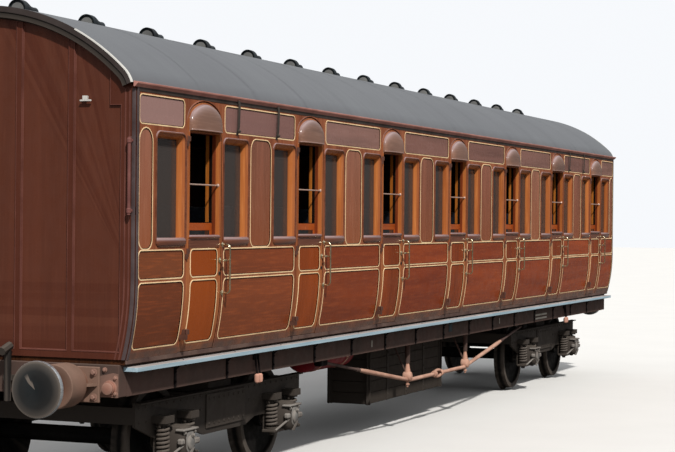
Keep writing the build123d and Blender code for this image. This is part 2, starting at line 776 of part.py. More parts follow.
def pivots():
    """The centre castings and side bearings that rest on the bogies' bolsters."""
    pieces = []
    low = BOLSTER_TOP + SEAT_FIT
    tall = BEARER_BOTTOM - low
    for x in (-BOGIE_PLACE, BOGIE_PLACE):
        pieces.append(Pos(x, 0, low + tall / 2) * Cylinder(PIVOT_RADIUS, tall))
        for y in (-BEARING_Y, BEARING_Y):
            pieces.append(block(
                x - BEARING_HALF_LONG, x + BEARING_HALF_LONG, y - BEARING_HALF_WIDE, y + BEARING_HALF_WIDE,
                low, BEARER_BOTTOM,
            ))
    return pieces


# Truss
def turnbuckle():
    """The slotted nut that draws the truss rod tight."""
    place = Pos(0, -TRUSS_Y, ROD_LOW)
    body = block(
        -TURNBUCKLE_HALF, TURNBUCKLE_HALF, -TURNBUCKLE_THICK / 2, TURNBUCKLE_THICK / 2,
        -TURNBUCKLE_TALL / 2, TURNBUCKLE_TALL / 2,
    )
    body = chamfer(body.edges().filter_by(Axis.Y), TURNBUCKLE_TALL / 3)
    slot = block(
        -TURNBUCKLE_HALF / 2, TURNBUCKLE_HALF / 2, -TURNBUCKLE_THICK, TURNBUCKLE_THICK,
        -TURNBUCKLE_SLOT / 2, TURNBUCKLE_SLOT / 2,
    )
    return place * body, place * slot


def truss():
    """The photographed side's truss rod with its posts, bosses, braces and anchors."""
    y = -TRUSS_Y
    nut, slot = turnbuckle()
    piece = bar((-POST_PLACE, y, ROD_LOW), (POST_PLACE, y, ROD_LOW), ROD_RADIUS, ROD_SIDES) + nut - slot
    for sign in (-1, 1):
        x = sign * POST_PLACE
        end = sign * ROD_END
        boss = ROD_LOW + BOSS_LIFT
        neck = boss + NECK_TOP
        piece += bar((x, y, ROD_LOW), (end, y, SOLEBAR_BOTTOM - ANCHOR_DROP), ROD_RADIUS, ROD_SIDES)
        piece += bar((x, y, neck), (x, y, SOLEBAR_BOTTOM), POST_RADIUS)
        foot = Pos(x, y, boss) * RegularPolygon(POST_FOOT, 8)
        piece += loft([foot, Pos(x, y, neck) * RegularPolygon(POST_NECK, 8)])
        piece += bar((x, y - BOSS_HALF, boss), (x, y + BOSS_HALF, boss), BOSS_RADIUS, BOSS_SIDES)
        piece += bar((x, y, ROD_LOW - PIN_DROP), (x, y, boss), PIN_RADIUS)
        piece += block(
            x - POST_PLATE_HALF, x + POST_PLATE_HALF, y - POST_PLATE_WIDE, y + POST_PLATE_WIDE,
            SOLEBAR_BOTTOM - POST_PLATE_THICK, SOLEBAR_BOTTOM,
        )
        piece += bar((x, y, boss), (x, y + BRACE_REACH, BEARER_BOTTOM - BRACE_RADIUS), BRACE_RADIUS)
        piece += block(
            end - ANCHOR_HALF, end + ANCHOR_HALF, y - ANCHOR_WIDE, y + ANCHOR_WIDE,
            SOLEBAR_BOTTOM - ANCHOR_DEEP, SOLEBAR_BOTTOM,
        )
    return piece


# Boxes and tanks below the floor
def battery_box():
    """The battery box hung from the cross bearers on the photographed side, with its lid's edge."""
    end = BATTERY_START + BATTERY_LONG
    box = block(BATTERY_START, end, -BATTERY_OUT, -BATTERY_IN, BEARER_BOTTOM - BATTERY_DEEP, BEARER_BOTTOM)
    lid = block(
        BATTERY_START - LID_OUT, end + LID_OUT, -BATTERY_OUT - LID_OUT, -BATTERY_IN,
        BEARER_BOTTOM - LID_TALL, BEARER_BOTTOM,
    )
    return box + lid


def reservoir():
    """The brake reservoir with its coned ends, on its two hangers."""
    rim = TANK_HALF - TANK_DOME
    face = Face(Wire(Polyline(
        (-TANK_HALF, 0, 0), (-TANK_HALF, 0, TANK_RADIUS / 2), (-rim, 0, TANK_RADIUS), (rim, 0, TANK_RADIUS),
        (TANK_HALF, 0, TANK_RADIUS / 2), (TANK_HALF, 0, 0), close=True,
    )))
    height = FLOOR_BOTTOM - TANK_DROP
    tank = Pos(TANK_X, -TANK_Y, height) * revolve(face, Axis.X, 360)
    for x in (TANK_X - STRAP_OFF, TANK_X + STRAP_OFF):
        tank += block(
            x - STRAP_HALF_LONG, x + STRAP_HALF_LONG, -TANK_Y - STRAP_HALF_WIDE, -TANK_Y + STRAP_HALF_WIDE,
            height, FLOOR_BOTTOM,
        )
    return tank


# Buffers and drawgear, made at the +X end
def buffer_rib():
    """One stiffening rib of a buffer's casting, above its middle."""
    return Pos(0, -RIB_HALF, 0) * extrude(Face(Wire(Polyline(
        (0, 0, 0), (DRUM_START + DRUM_FLARE, 0, 0), (DRUM_START + DRUM_FLARE, 0, DRUM_RADIUS),
        (DRUM_START, 0, DRUM_RADIUS), (BASE_THICK, 0, BASE_HALF), (0, 0, BASE_HALF), close=True,
    ))), amount=2 * RIB_HALF, dir=(0, 1, 0))


def buffer_guides():
    """The buffers' castings on one headstock: a square base, ribs and the drum."""
    face = Face(Wire(Polyline(
        (0, 0, 0), (0, 0, NECK_RADIUS), (DRUM_START, 0, NECK_RADIUS),
        (DRUM_START + DRUM_FLARE, 0, DRUM_RADIUS),
        (DRUM_END, 0, DRUM_RADIUS), (DRUM_END, 0, 0), close=True,
    )))
    guide = revolve(face, Axis.X, 360)
    guide += block(0, BASE_THICK, -BASE_HALF, BASE_HALF, -BASE_HALF, BASE_HALF)
    for turn in (0, 90, 180, 270):
        guide += Rot(turn, 0, 0) * buffer_rib()
    return [Pos(HEADSTOCK_FACE, y, BUFFER_HEIGHT) * guide for y in (-BUFFER_Y, BUFFER_Y)]


def buffer_heads():
    """The buffers' rams and round, slightly domed heads."""
    rim = BUFFER_LENGTH - HEAD_DOME
    back = rim - BUFFER_HEAD_THICK
    face = Face(Wire(Polyline(
        (DRUM_END, 0, 0), (DRUM_END, 0, RAM_RADIUS), (back - HEAD_BACK, 0, RAM_RADIUS),
        (back, 0, BUFFER_HEAD_RADIUS), (rim, 0, BUFFER_HEAD_RADIUS), (BUFFER_LENGTH, 0, HEAD_FLAT),
        (BUFFER_LENGTH, 0, 0), close=True,
    )))
    head = revolve(face, Axis.X, 360)
    return [Pos(HEADSTOCK_FACE, y, BUFFER_HEIGHT) * head for y in (-BUFFER_Y, BUFFER_Y)]


def drawhook():
    """The drawhook of one headstock, with the eye for its coupling."""
    throat = SHANK_LONG + THROAT_DEEP
    face = Face(Wire(Polyline(
        (0, 0, -SHANK_HALF), (SHANK_LONG, 0, -SHANK_HALF), (throat, 0, -HOOK_LOW),
        (HOOK_LONG - THROAT_DEEP, 0, -HOOK_LOW), (HOOK_LONG, 0, -SHANK_HALF), (HOOK_LONG, 0, SHANK_HALF),
        (HOOK_LONG - THROAT_DEEP, 0, SHANK_HALF), (HOOK_LONG - 2 * THROAT_DEEP, 0, -THROAT_DEEP),
        (throat + THROAT_DEEP / 2, 0, -THROAT_DEEP), (throat, 0, 0), (SHANK_LONG, 0, SHANK_HALF),
        (0, 0, SHANK_HALF), close=True,
    )))
    hook = Pos(0, -HOOK_THICK / 2, 0) * extrude(face, amount=HOOK_THICK, dir=(0, 1, 0))
    eye = Pos(HOOK_EYE_PLACE, 0, 0) * (Rot(90, 0, 0) * Cylinder(HOOK_EYE_RADIUS, 2 * HOOK_THICK))
    plate = block(0, HOOK_PLATE, -HOOK_PLATE_WIDE, HOOK_PLATE_WIDE, -HOOK_PLATE_TALL, HOOK_PLATE_TALL)
    return Pos(HEADSTOCK_FACE, 0, BUFFER_HEIGHT) * (plate + hook - eye)


def standpipe():
    """The brake pipe that stands beside one drawhook, up to the gland for its hose."""
    x = HEADSTOCK_FACE + PIPE_OUT
    top = BUFFER_HEIGHT + PIPE_ABOVE
    clip = BUFFER_HEIGHT + CLIP_LIFT
    pipe = bar((x, PIPE_Y, BUFFER_HEIGHT - PIPE_BELOW), (x, PIPE_Y, top), PIPE_RADIUS, ROD_SIDES)
    pipe += bar((x - PIPE_RADIUS, PIPE_Y, top), (x + GLAND_OUT, PIPE_Y, top - GLAND_FALL), GLAND_RADIUS)
    return pipe + block(
        HEADSTOCK_FACE, x, PIPE_Y - CLIP_HALF, PIPE_Y + CLIP_HALF, clip, clip + CLIP_HALF,
    )


# Bogie, made round X = 0
def wheelset():
    """An axle with its two wheels, turned round the axle's line."""
    wheel = WHEEL_DIAMETER / 2
    back = BACK_TO_BACK / 2
    front = back + TYRE_WIDTH
    rim = wheel - RIM_DEEP
    web = front - WEB_SUNK
    half = [
        (0, AXLE_RADIUS), (back, AXLE_RADIUS), (back, wheel + FLANGE), (back + FLANGE_THICK, wheel),
        (front, wheel - TREAD_FALL), (front, rim), (web, rim), (web, HUB_RADIUS), (HUB_OUT, HUB_RADIUS),
        (HUB_OUT, JOURNAL_RADIUS), (JOURNAL_END, JOURNAL_RADIUS), (JOURNAL_END, 0),
    ]
    points = [(0, -y, r) for y, r in reversed(half)] + [(0, y, r) for y, r in half[1:]]
    return revolve(Face(Wire(Polyline(*points, close=True))), Axis.Y, 360)


def bogie_plate():
    """The photographed side's frame plate, with its apron, its horns and the caps over the springs."""
    half = WHEELBASE / 2
    reach = HORN_HALF + HORN_WIDE
    end_low = PLATE_TOP - PLATE_END_DEEP
    outline = [(PLATE_HALF, PLATE_TOP), (PLATE_HALF, end_low), (half + reach, PLATE_BOTTOM)]
    outline += [(half + reach, HORN_BOTTOM), (half + HORN_HALF, HORN_BOTTOM), (half + HORN_HALF, HORN_TOP)]
    outline += [(half - HORN_HALF, HORN_TOP), (half - HORN_HALF, HORN_BOTTOM), (half - reach, HORN_BOTTOM)]
    outline += [(half - reach, PLATE_BOTTOM), (APRON_TOP_HALF, PLATE_BOTTOM)]
    outline.append((APRON_LOW_HALF, PLATE_BOTTOM - APRON_DROP))
    points = [(x, 0, z) for x, z in outline] + [(-x, 0, z) for x, z in reversed(outline)]
    face = Face(Wire(Polyline(*points, close=True)))
    plate = Pos(0, -PLATE_IN - PLATE_THICK, 0) * extrude(face, amount=PLATE_THICK, dir=(0, 1, 0))
    for axle in (-half, half):
        for off in (-SPRING_OFF, SPRING_OFF):
            x = axle + off
            front = -SPRING_Y - SEAT_HALF_ACROSS
            plate += block(x - CAP_HALF, x + CAP_HALF, front, -PLATE_IN, HORN_TOP, HORN_TOP + CAP_TALL)
    return plate


def cross_members():
    """A bogie's transoms, end beams and bolster."""
    pieces = []
    for sign in (-1, 1):
        x0, x1 = sorted((sign * TRANSOM_IN, sign * (TRANSOM_IN + TRANSOM_THICK)))
        pieces.append(block(x0, x1, -PLATE_IN, PLATE_IN, TRANSOM_BOTTOM, TRANSOM_TOP))
        x0, x1 = sorted((sign * END_BEAM_IN, sign * PLATE_HALF))
        pieces.append(block(x0, x1, -PLATE_IN, PLATE_IN, TRANSOM_TOP - END_BEAM_TALL, TRANSOM_TOP))
    pieces.append(block(
        -TRANSOM_IN, TRANSOM_IN, -BOLSTER_HALF, BOLSTER_HALF, BOLSTER_BOTTOM, BOLSTER_TOP,
    ))
    return pieces


def axlebox(axle):
    """One axlebox with its peaked cap and the wings that carry its springs."""
    low = AXLE_HEIGHT - BOX_TALL / 2
    top = low + BOX_TALL
    inner = PLATE_IN - BOX_BACK
    front = Face(Wire(Polyline(
        (axle - BOX_HALF + BOX_TAPER, 0, low), (axle + BOX_HALF - BOX_TAPER, 0, low),
        (axle + BOX_HALF, 0, low + WING_THICK), (axle + BOX_HALF, 0, top - CAP_LOW), (axle, 0, top),
        (axle - BOX_HALF, 0, top - CAP_LOW), (axle - BOX_HALF, 0, low + WING_THICK), close=True,
    )))
    box = Pos(0, -BOX_OUT, 0) * extrude(front, amount=BOX_OUT - inner, dir=(0, 1, 0))
    wide = BOX_HALF + CAP_OVER
    eave = top - CAP_LOW
    cap = Face(Wire(Polyline(
        (axle - wide, 0, eave - CAP_PEAK), (axle, 0, top - CAP_PEAK), (axle + wide, 0, eave - CAP_PEAK),
        (axle + wide, 0, eave), (axle, 0, top), (axle - wide, 0, eave), close=True,
    )))
    room = BOX_OUT - PLATE_IN - PLATE_THICK - CAP_OVER
    box += Pos(0, -BOX_OUT, 0) * extrude(cap, amount=room, dir=(0, 1, 0))
    box += block(
        axle - WING_HALF, axle + WING_HALF, -SPRING_Y - SEAT_HALF_ACROSS, -SPRING_Y + SEAT_HALF_ACROSS,
        low, low + WING_THICK,
    )
    length = JOURNAL_END + JOURNAL_GAP - inner
    bore = Rot(90, 0, 0) * Cylinder(JOURNAL_RADIUS + JOURNAL_GAP, length)
    return box - Pos(axle, -inner - length / 2, AXLE_HEIGHT) * bore


def axleboxes():
    """The photographed side's two axleboxes."""
    return [axlebox(axle) for axle in (-WHEELBASE / 2, WHEELBASE / 2)]


def springs():
    """The photographed side's four coil springs, as plain drums."""
    low = AXLE_HEIGHT - BOX_TALL / 2 + WING_THICK
    pieces = []
    for axle in (-WHEELBASE / 2, WHEELBASE / 2):
        for off in (-SPRING_OFF, SPRING_OFF):
            x = axle + off
            pieces.append(bar((x, -SPRING_Y, low), (x, -SPRING_Y, HORN_TOP), SPRING_RADIUS, SPRING_SIDES))
    return pieces


# Small fittings
def grab_handles():
    """A standing grab handle to the right of each door of the photographed side."""
    handles = []
    out = -HALF_WIDTH - HANDLE_OUT
    low = SIDE_BOTTOM + HANDLE_RISE
    high = low + HANDLE_TALL
    for centre in DOOR_CENTRES:
        x = centre + DOOR_HALF + HANDLE_OFF
        handle = bar((x, out, low - HANDLE_RADIUS), (x, out, high + HANDLE_RADIUS), HANDLE_RADIUS)
        for height in (low, high):
            handle += bar((x, out, height), (x, -side_at(height + HANDLE_RADIUS), height), HANDLE_RADIUS)
        handles.append(handle)
    return handles


def end_rails():
    """The upright handrails at one end's corners."""
    rails = []
    x = BODY_HALF + RAIL_OUT
    low = SIDE_BOTTOM + RAIL_RISE
    high = low + RAIL_TALL
    for y in (-HALF_WIDTH + RAIL_IN, HALF_WIDTH - RAIL_IN):
        rail = bar((x, y, low), (x, y, high), RAIL_RADIUS)
        for height in (low + RAIL_FOOT, high - RAIL_FOOT):
            rail += bar((BODY_HALF, y, height), (x, y, height), RAIL_RADIUS)
        rails.append(rail)
    return rails


# Writing the files
def write(node, pieces):
    """Raises a node's solids to the flanges' level and writes them to one file."""
    solids = []
    for piece in pieces:
        solids += [Pos(0, 0, FLANGE) * solid for solid in piece.solids()]
    shape = solids[0] if len(solids) == 1 else Compound(solids)
    export_step(shape, os.path.join("parts", node + ".step"))


def write_body():
    """The body's shell, its roof and what is inside it."""
    near_panels = side_panels()
    rack = CANTRAIL_BOTTOM - RACK_DROP
    seat = SIDE_BOTTOM + SEAT_BASE_RISE
    write("side_near", near_panels)
    write("side_far", [turned(panel) for panel in near_panels])
    write("window_panes", both(window_panes()))
    write("cantrails", both([cantrail()]))
    write("gutters", both([gutter()]))
    write("roof", [roof()])
    write("roof_vents", roof_vents())
    write("end_walls", end_walls())
    write("partitions", partitions())
    write("seat_bases", seat_parts(0, SEAT_DEEP - SEAT_NOSE, SIDE_BOTTOM, seat))
    write("seat_cushions", seat_parts(BACK_THICK, SEAT_DEEP, seat, SIDE_BOTTOM + SEAT_RISE))
    write("seat_backs", seat_parts(0, BACK_THICK, seat, SIDE_BOTTOM + BACK_RISE))
    write("luggage_racks", seat_parts(0, RACK_DEEP, rack, rack + RACK_THICK))
    write("grab_handles", both(grab_handles()))
    write("end_rails", both(end_rails()))
    write("hinge_leaves", both(hinge_leaves()))
    leaf = door()
    for index, centre in enumerate(DOOR_CENTRES, start=1):
        placed = Pos(centre, 0, 0) * leaf
        write(f"door_near_{index}", [placed])
        write(f"door_far_{index}", [turned(placed)])


def write_underframe():
    """The floor and what is fixed below it."""
    write("floor", [floor()])
    write("solebars", solebars())
    write("headstocks", headstocks())
    write("cross_bearers", cross_bearers())
    write("longitudinals", longitudinals())
    write("footboards", footboards())
    write("footboard_brackets", both(footboard_brackets()))
    write("hanger_links", both(hanger_links()))
    write("pivots", pivots())
    write("truss_rods", both([truss()]))
    write("battery_box", [battery_box()])
    write("reservoir", [reservoir()])
    write("buffer_guides", both(buffer_guides()))
    write("buffer_heads", both(buffer_heads()))
    write("drawhooks", both([drawhook()]))
    write("standpipes", both([standpipe()]))


def write_bogies():
    """The two bogies, each with its frame, boxes, springs and two wheelsets."""
    plates = both([bogie_plate()])
    members = cross_members()
    boxes = both(axleboxes())
    coils = both(springs())
    wheels = wheelset()
    for name, place in (("a", -BOGIE_PLACE), ("b", BOGIE_PLACE)):
        spot = Pos(place, 0, 0)
        write(f"bogie_{name}_plates", [spot * piece for piece in plates])
        write(f"bogie_{name}_beams", [spot * piece for piece in members])
        write(f"bogie_{name}_axleboxes", [spot * piece for piece in boxes])
        write(f"bogie_{name}_springs", [spot * piece for piece in coils])
        for number, off in ((1, -WHEELBASE / 2), (2, WHEELBASE / 2)):
            write(f"wheelset_{name}{number}", [Pos(place + off, 0, AXLE_HEIGHT) * wheels])


def main():
    os.makedirs("parts", exist_ok=True)
    write_body()
    write_underframe()
    write_bogies()


main()
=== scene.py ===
import json
import math

import bmesh
import bpy
from mathutils import Matrix, Vector

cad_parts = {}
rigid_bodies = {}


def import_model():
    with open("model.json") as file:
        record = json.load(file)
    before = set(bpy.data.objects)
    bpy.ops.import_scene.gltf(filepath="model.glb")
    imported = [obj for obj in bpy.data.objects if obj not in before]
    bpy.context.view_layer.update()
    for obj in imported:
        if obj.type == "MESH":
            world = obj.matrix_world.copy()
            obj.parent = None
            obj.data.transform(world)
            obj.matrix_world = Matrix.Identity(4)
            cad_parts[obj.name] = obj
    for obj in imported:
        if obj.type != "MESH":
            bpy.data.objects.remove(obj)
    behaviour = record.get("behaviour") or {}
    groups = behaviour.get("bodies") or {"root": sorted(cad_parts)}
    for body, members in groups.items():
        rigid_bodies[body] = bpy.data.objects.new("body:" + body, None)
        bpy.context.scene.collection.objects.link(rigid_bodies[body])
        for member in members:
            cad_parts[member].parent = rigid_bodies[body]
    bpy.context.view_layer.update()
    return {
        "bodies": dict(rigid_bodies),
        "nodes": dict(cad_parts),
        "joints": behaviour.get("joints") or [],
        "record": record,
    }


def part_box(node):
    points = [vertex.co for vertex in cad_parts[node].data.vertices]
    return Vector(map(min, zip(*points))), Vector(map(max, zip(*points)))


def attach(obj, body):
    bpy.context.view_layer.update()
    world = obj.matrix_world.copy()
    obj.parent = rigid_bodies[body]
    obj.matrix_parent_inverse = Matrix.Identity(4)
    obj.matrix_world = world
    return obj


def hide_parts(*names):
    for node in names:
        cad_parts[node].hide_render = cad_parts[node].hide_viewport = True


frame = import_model()

# Sizes, in metres. Heights are in the frame; up() lifts a height above the rail into it.
RAIL = 0.028
END_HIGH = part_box("end_walls")[1]
BODY_HALF = END_HIGH.x
HALF_WIDTH = END_HIGH.y
SIDE_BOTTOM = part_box("side_near")[0].z
CANTRAIL_BOTTOM, CANTRAIL_TOP = [corner.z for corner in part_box("cantrails")]
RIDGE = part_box("roof")[1].z
ROOF_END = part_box("roof")[1].x
COMPARTMENT = 2.235
COMPARTMENTS = 7
DOOR_CENTRES = [(k - 3) * COMPARTMENT for k in range(COMPARTMENTS)]
TURN_RADIUS = 2.26
TURN_TOP = SIDE_BOTTOM + 0.58
RELIEF = 0.007
FIELD = 0.0008

# Doors and their openings
DOOR_HALF = 0.315
DOOR_GAP = 0.009
DOOR_TOP = CANTRAIL_TOP - 0.084
DOOR_BOTTOM = SIDE_BOTTOM + 0.006
DOOR_ARCH = (DOOR_HALF, DOOR_TOP, 0.19, 0.15)
OPENING_ARCH = (DOOR_HALF + DOOR_GAP, DOOR_TOP + 0.01, 0.2, 0.16)
LIGHT_HALF = 0.278
LIGHT_BOTTOM = SIDE_BOTTOM + 0.93
LIGHT_TOP = DOOR_TOP - 0.25
HOOD_BOTTOM = DOOR_TOP - 0.228
HINGE_X = -DOOR_HALF - DOOR_GAP / 2
HINGE_HEIGHTS = (SIDE_BOTTOM + 0.15, SIDE_BOTTOM + 0.8, CANTRAIL_BOTTOM - 0.075)

# Roof arcs: a crown with a shoulder at each eave
SHOULDER_RADIUS = 0.26
SHOULDER_Y = HALF_WIDTH + 0.0035 - SHOULDER_RADIUS
SHOULDER_Z = CANTRAIL_TOP - 0.0826
CROWN_FALL = RIDGE - SHOULDER_Z - SHOULDER_RADIUS
CROWN_RADIUS = (SHOULDER_Y ** 2 + (RIDGE - SHOULDER_Z) ** 2 - SHOULDER_RADIUS ** 2) / (2 * CROWN_FALL)
CROWN_Z = RIDGE - CROWN_RADIUS


def up(height):
    """A height above the rail, in the frame."""
    return height + RAIL


# Panels of the side: heights, corners, and distances from a door's centre or a bay's middle
EAVES_PANEL = (up(3.068), up(3.284))
WAIST_PANEL = (up(1.865), up(2.082))
LOWER_PANEL = (up(1.328), up(1.83))
BLANK_PANEL = (up(2.1), up(3.03))
WINDOW_FRAME = (up(2.112), up(3.02))
WAIST_CORNER, LOWER_CORNER, BLANK_CORNER = 0.042, 0.05, 0.075
SILL_TALL = 0.068
DOOR_PANEL_HALF = 0.244
EAVES_FROM_DOOR = 0.378
PANEL_FROM_DOOR = 0.373
BLANK_HALF = 0.212
FRAME_NEAR = 0.342
FRAME_FAR = 0.865
WALL = 0.075
WINDOW_INSET = 0.054
END_MARGIN = 0.036
END_BLANK = 0.214


# Colours are written as they look on a screen, 0 to 255
def srgb(red, green, blue):
    """The linear colour that a shader takes, for screen values."""
    linear = []
    for value in (red, green, blue):
        share = value / 255
        linear.append(share / 12.92 if share <= 0.04045 else ((share + 0.055) / 1.055) ** 2.4)
    return (*linear, 1.0)


# Materials
class Finish:
    """A material with one principled shader, and short ways to add the nodes that it needs."""

    def __init__(self, name):
        self.material = bpy.data.materials.new(name)
        self.material.use_nodes = True
        self.tree = self.material.node_tree
        self.shader = self.tree.nodes["Principled BSDF"]
        self.place = self.node("ShaderNodeTexCoord").outputs["Object"]

    def node(self, kind):
        return self.tree.nodes.new(kind)

    def link(self, source, target):
        self.tree.links.new(source, target)

    def fixed(self, **values):
        """Sets plain values on the shader's own sockets, with _ for a space in their names."""
        for name, value in values.items():
            self.shader.inputs[name.replace("_", " ")].default_value = value

    def noise(self, scale, stretch=(1, 1, 1), detail=4.0, distortion=0.0):
        """Noise in the object's own space, finer along the axes with a large stretch."""
        mapping = self.node("ShaderNodeMapping")
        mapping.inputs["Scale"].default_value = stretch
        self.link(self.place, mapping.inputs["Vector"])
        noise = self.node("ShaderNodeTexNoise")
        for name, value in (("Scale", scale), ("Detail", detail), ("Distortion", distortion)):
            noise.inputs[name].default_value = value
        self.link(mapping.outputs["Vector"], noise.inputs["Vector"])
        return noise.outputs["Fac"]

    def span(self, value, low, high, to_low=0.0, to_high=1.0):
        """A value's range stretched to another, and held inside it."""
        span = self.node("ShaderNodeMapRange")
        ends = {"From Min": low, "From Max": high, "To Min": to_low, "To Max": to_high}
        for name, end in ends.items():
            span.inputs[name].default_value = end
        self.link(value, span.inputs["Value"])
        return span.outputs["Result"]

    def times(self, first, second):
        """A value times another value or a number."""
        product = self.node("ShaderNodeMath")
        product.operation = "MULTIPLY"
        self.link(first, product.inputs[0])
        if isinstance(second, (int, float)):
            product.inputs[1].default_value = second
        else:
            self.link(second, product.inputs[1])
        return product.outputs[0]

    def mix(self, share, first, second, kind="MIX"):
        """Two colours mixed by a share; each may be a colour or another node's output."""
        mix = self.node("ShaderNodeMix")
        mix.data_type = "RGBA"
        mix.blend_type = kind
        sockets = (mix.inputs["Factor"], mix.inputs[6], mix.inputs[7])
        for socket, value in zip(sockets, (share, first, second)):
            if isinstance(value, (int, float, tuple)):
                socket.default_value = value
            else:
                self.link(value, socket)
        return mix.outputs[2]

    def part(self, axis, vector=None):
        """One coordinate of a point at rest, or of another vector."""
        split = self.node("ShaderNodeSeparateXYZ")
        self.link(self.place if vector is None else vector, split.inputs["Vector"])
        return split.outputs[axis]

    def each(self):
        """A number that differs from one separate piece of the mesh to the next."""
        return self.node("ShaderNodeNewGeometry").outputs["Random Per Island"]

    def facing_up(self):
        """1 on level faces, 0 on upright ones and -1 on undersides."""
        return self.part("Z", self.node("ShaderNodeNewGeometry").outputs["Normal"])

    def edges(self):
        """Bright on worn outer edges."""
        return self.span(self.node("ShaderNodeNewGeometry").outputs["Pointiness"], 0.5, 0.56)

    def bump(self, value, strength, distance):
        """Adds the value's relief to the shader."""
        bump = self.node("ShaderNodeBump")
        bump.inputs["Strength"].default_value = strength
        bump.inputs["Distance"].default_value = distance
        self.link(value, bump.inputs["Height"])
        self.link(bump.outputs["Normal"], self.shader.inputs["Normal"])

    def colour(self, value):
        self.link(value, self.shader.inputs["Base Color"])

    def roughness(self, value):
        self.link(value, self.shader.inputs["Roughness"])


NEAR_BAYS = (-BODY_HALF + 0.5, -BODY_HALF + 6.0)
GRAIN = {"x": (0.05, 1, 1), "y": (1, 0.05, 1), "z": (1, 1, 0.05)}


def varnished(
    name, dark, main, light, grain, gloss=0.26, level=0.1, grime=0.0, near=None, sky=None, sun=None,
):
    """Varnished wood: fine grain along one axis, broad figure, and a tone for each board.

    Tones are screen values. near is the tone of the first bays, sky a painted sky reflection on what faces
    up, and sun a painted sunlit tone at the panels' feet.
    """
    finish = Finish(name)
    fine = finish.noise(70, GRAIN[grain], 6)
    broad = finish.noise(7, GRAIN[grain], 3, 0.6)
    tone = finish.mix(finish.span(broad, 0.35, 0.65), srgb(*dark), srgb(*main))
    if near:
        tone = finish.mix(finish.span(finish.part("X"), *NEAR_BAYS, 0.85, 0.0), tone, srgb(*near))
    # Painted sunlight: a warmer tone towards the panels' feet.
    if sun:
        tone = finish.mix(finish.span(finish.part("Z"), *BLANK_PANEL, 0.75, 0.0), tone, srgb(*sun))
    tone = finish.mix(finish.times(finish.span(fine, 0.5, 0.75), 0.5), tone, srgb(*light))
    shift = finish.mix(finish.each(), srgb(222, 210, 206), srgb(255, 255, 250))
    tone = finish.mix(0.85, tone, shift, "MULTIPLY")
    # Painted sky reflection: faces that look up take the sky's tone.
    if sky:
        tone = finish.mix(finish.span(finish.facing_up(), 0.1, 0.7, 0.0, 0.85), tone, srgb(*sky))
    if grime:
        dust = finish.span(finish.part("Z"), SIDE_BOTTOM + 0.085, SIDE_BOTTOM + 0.04)
        patch = finish.span(finish.noise(5, (1, 1, 2), 5), 0.3, 0.6, 0.6, 1.0)
        tone = finish.mix(finish.times(finish.times(dust, patch), grime), tone, srgb(88, 70, 62))
    finish.colour(tone)
    finish.roughness(finish.span(finish.noise(9), 0.35, 0.7, gloss * 0.7, gloss * 1.6))
    finish.fixed(Specular_IOR_Level=level)
    finish.bump(fine, 0.06, 0.001)
    return finish.material


def painted(name, main, shade, gloss=0.4, level=0.12, dust=0.0, worn=0.0, bump=0.08):
    """Paint over wood or iron, in screen values: cloudy, dusty on level faces and worn at edges."""
    finish = Finish(name)
    cloud = finish.span(finish.noise(4.5, detail=6), 0.35, 0.65)
    speck = finish.noise(60, detail=5)
    tone = finish.mix(cloud, srgb(*shade), srgb(*main))
    tone = finish.mix(finish.span(speck, 0.55, 0.8, 0, 0.35), tone, srgb(*shade))
    if dust:
        settled = finish.span(finish.facing_up(), 0.3, 1.0, 0, dust)
        tone = finish.mix(settled, tone, srgb(150, 140, 128))
    if worn:
        tone = finish.mix(finish.times(finish.edges(), worn), tone, srgb(176, 160, 146))
    finish.colour(tone)
    finish.roughness(finish.span(finish.noise(14), 0.3, 0.7, gloss * 0.8, gloss * 1.3))
    finish.fixed(Specular_IOR_Level=level)
    finish.bump(speck, bump, 0.0015)
    return finish.material


def polished(name, main, shade, gloss, metal=1.0):
    """Bare metal with slightly uneven tone and polish."""
    finish = Finish(name)
    cloud = finish.span(finish.noise(30, detail=5), 0.35, 0.7)
    finish.colour(finish.mix(cloud, shade, main))
    finish.roughness(finish.span(finish.noise(55, detail=3), 0.3, 0.7, gloss * 0.7, gloss * 1.5))
    finish.fixed(Metallic=metal)
    return finish.material


def roof_cloth():
    """Painted canvas over boards: plain grey, with faint runs down the slope."""
    finish = Finish("roof_cloth")
    streak = finish.span(finish.noise(9, (1, 0.12, 0.12), 5), 0.3, 0.75)
    stain = finish.span(finish.noise(1.2, (0.4, 1, 1), 5), 0.4, 0.65)
    tone = finish.mix(streak, srgb(99, 101, 105), srgb(105, 108, 111))
    tone = finish.mix(finish.times(stain, 0.4), tone, srgb(91, 93, 97))
    weave = finish.noise(240, detail=2)
    finish.colour(tone)
    finish.fixed(Roughness=0.6, Specular_IOR_Level=0.3)
    finish.bump(weave, 0.1, 0.002)
    return finish.material


def weathered_board():
    """Bare grey-blue board with grain along the coach, a pinkish tread and painted shade on its underside.
    """
    finish = Finish("weathered_board")
    grain = finish.noise(30, GRAIN["x"], 6)
    tone = finish.mix(finish.span(grain, 0.35, 0.7), srgb(140, 166, 178), srgb(170, 190, 200))
    tread = finish.mix(finish.span(grain, 0.3, 0.7), srgb(146, 138, 134), srgb(172, 164, 160))
    patch = finish.span(finish.noise(2.5, (0.5, 1, 1), 4), 0.45, 0.75, 0, 0.45)
    tone = finish.mix(patch, tone, srgb(150, 160, 166))
    tone = finish.mix(finish.span(finish.facing_up(), 0.3, 0.8), tone, tread)
    # Painted shade: faces that look down are darkened.
    tone = finish.mix(finish.span(finish.facing_up(), -0.4, -0.8), tone, srgb(60, 56, 54))
    finish.colour(tone)
    finish.fixed(Roughness=0.8, Specular_IOR_Level=0.1)
    finish.bump(grain, 0.2, 0.0015)
    return finish.material


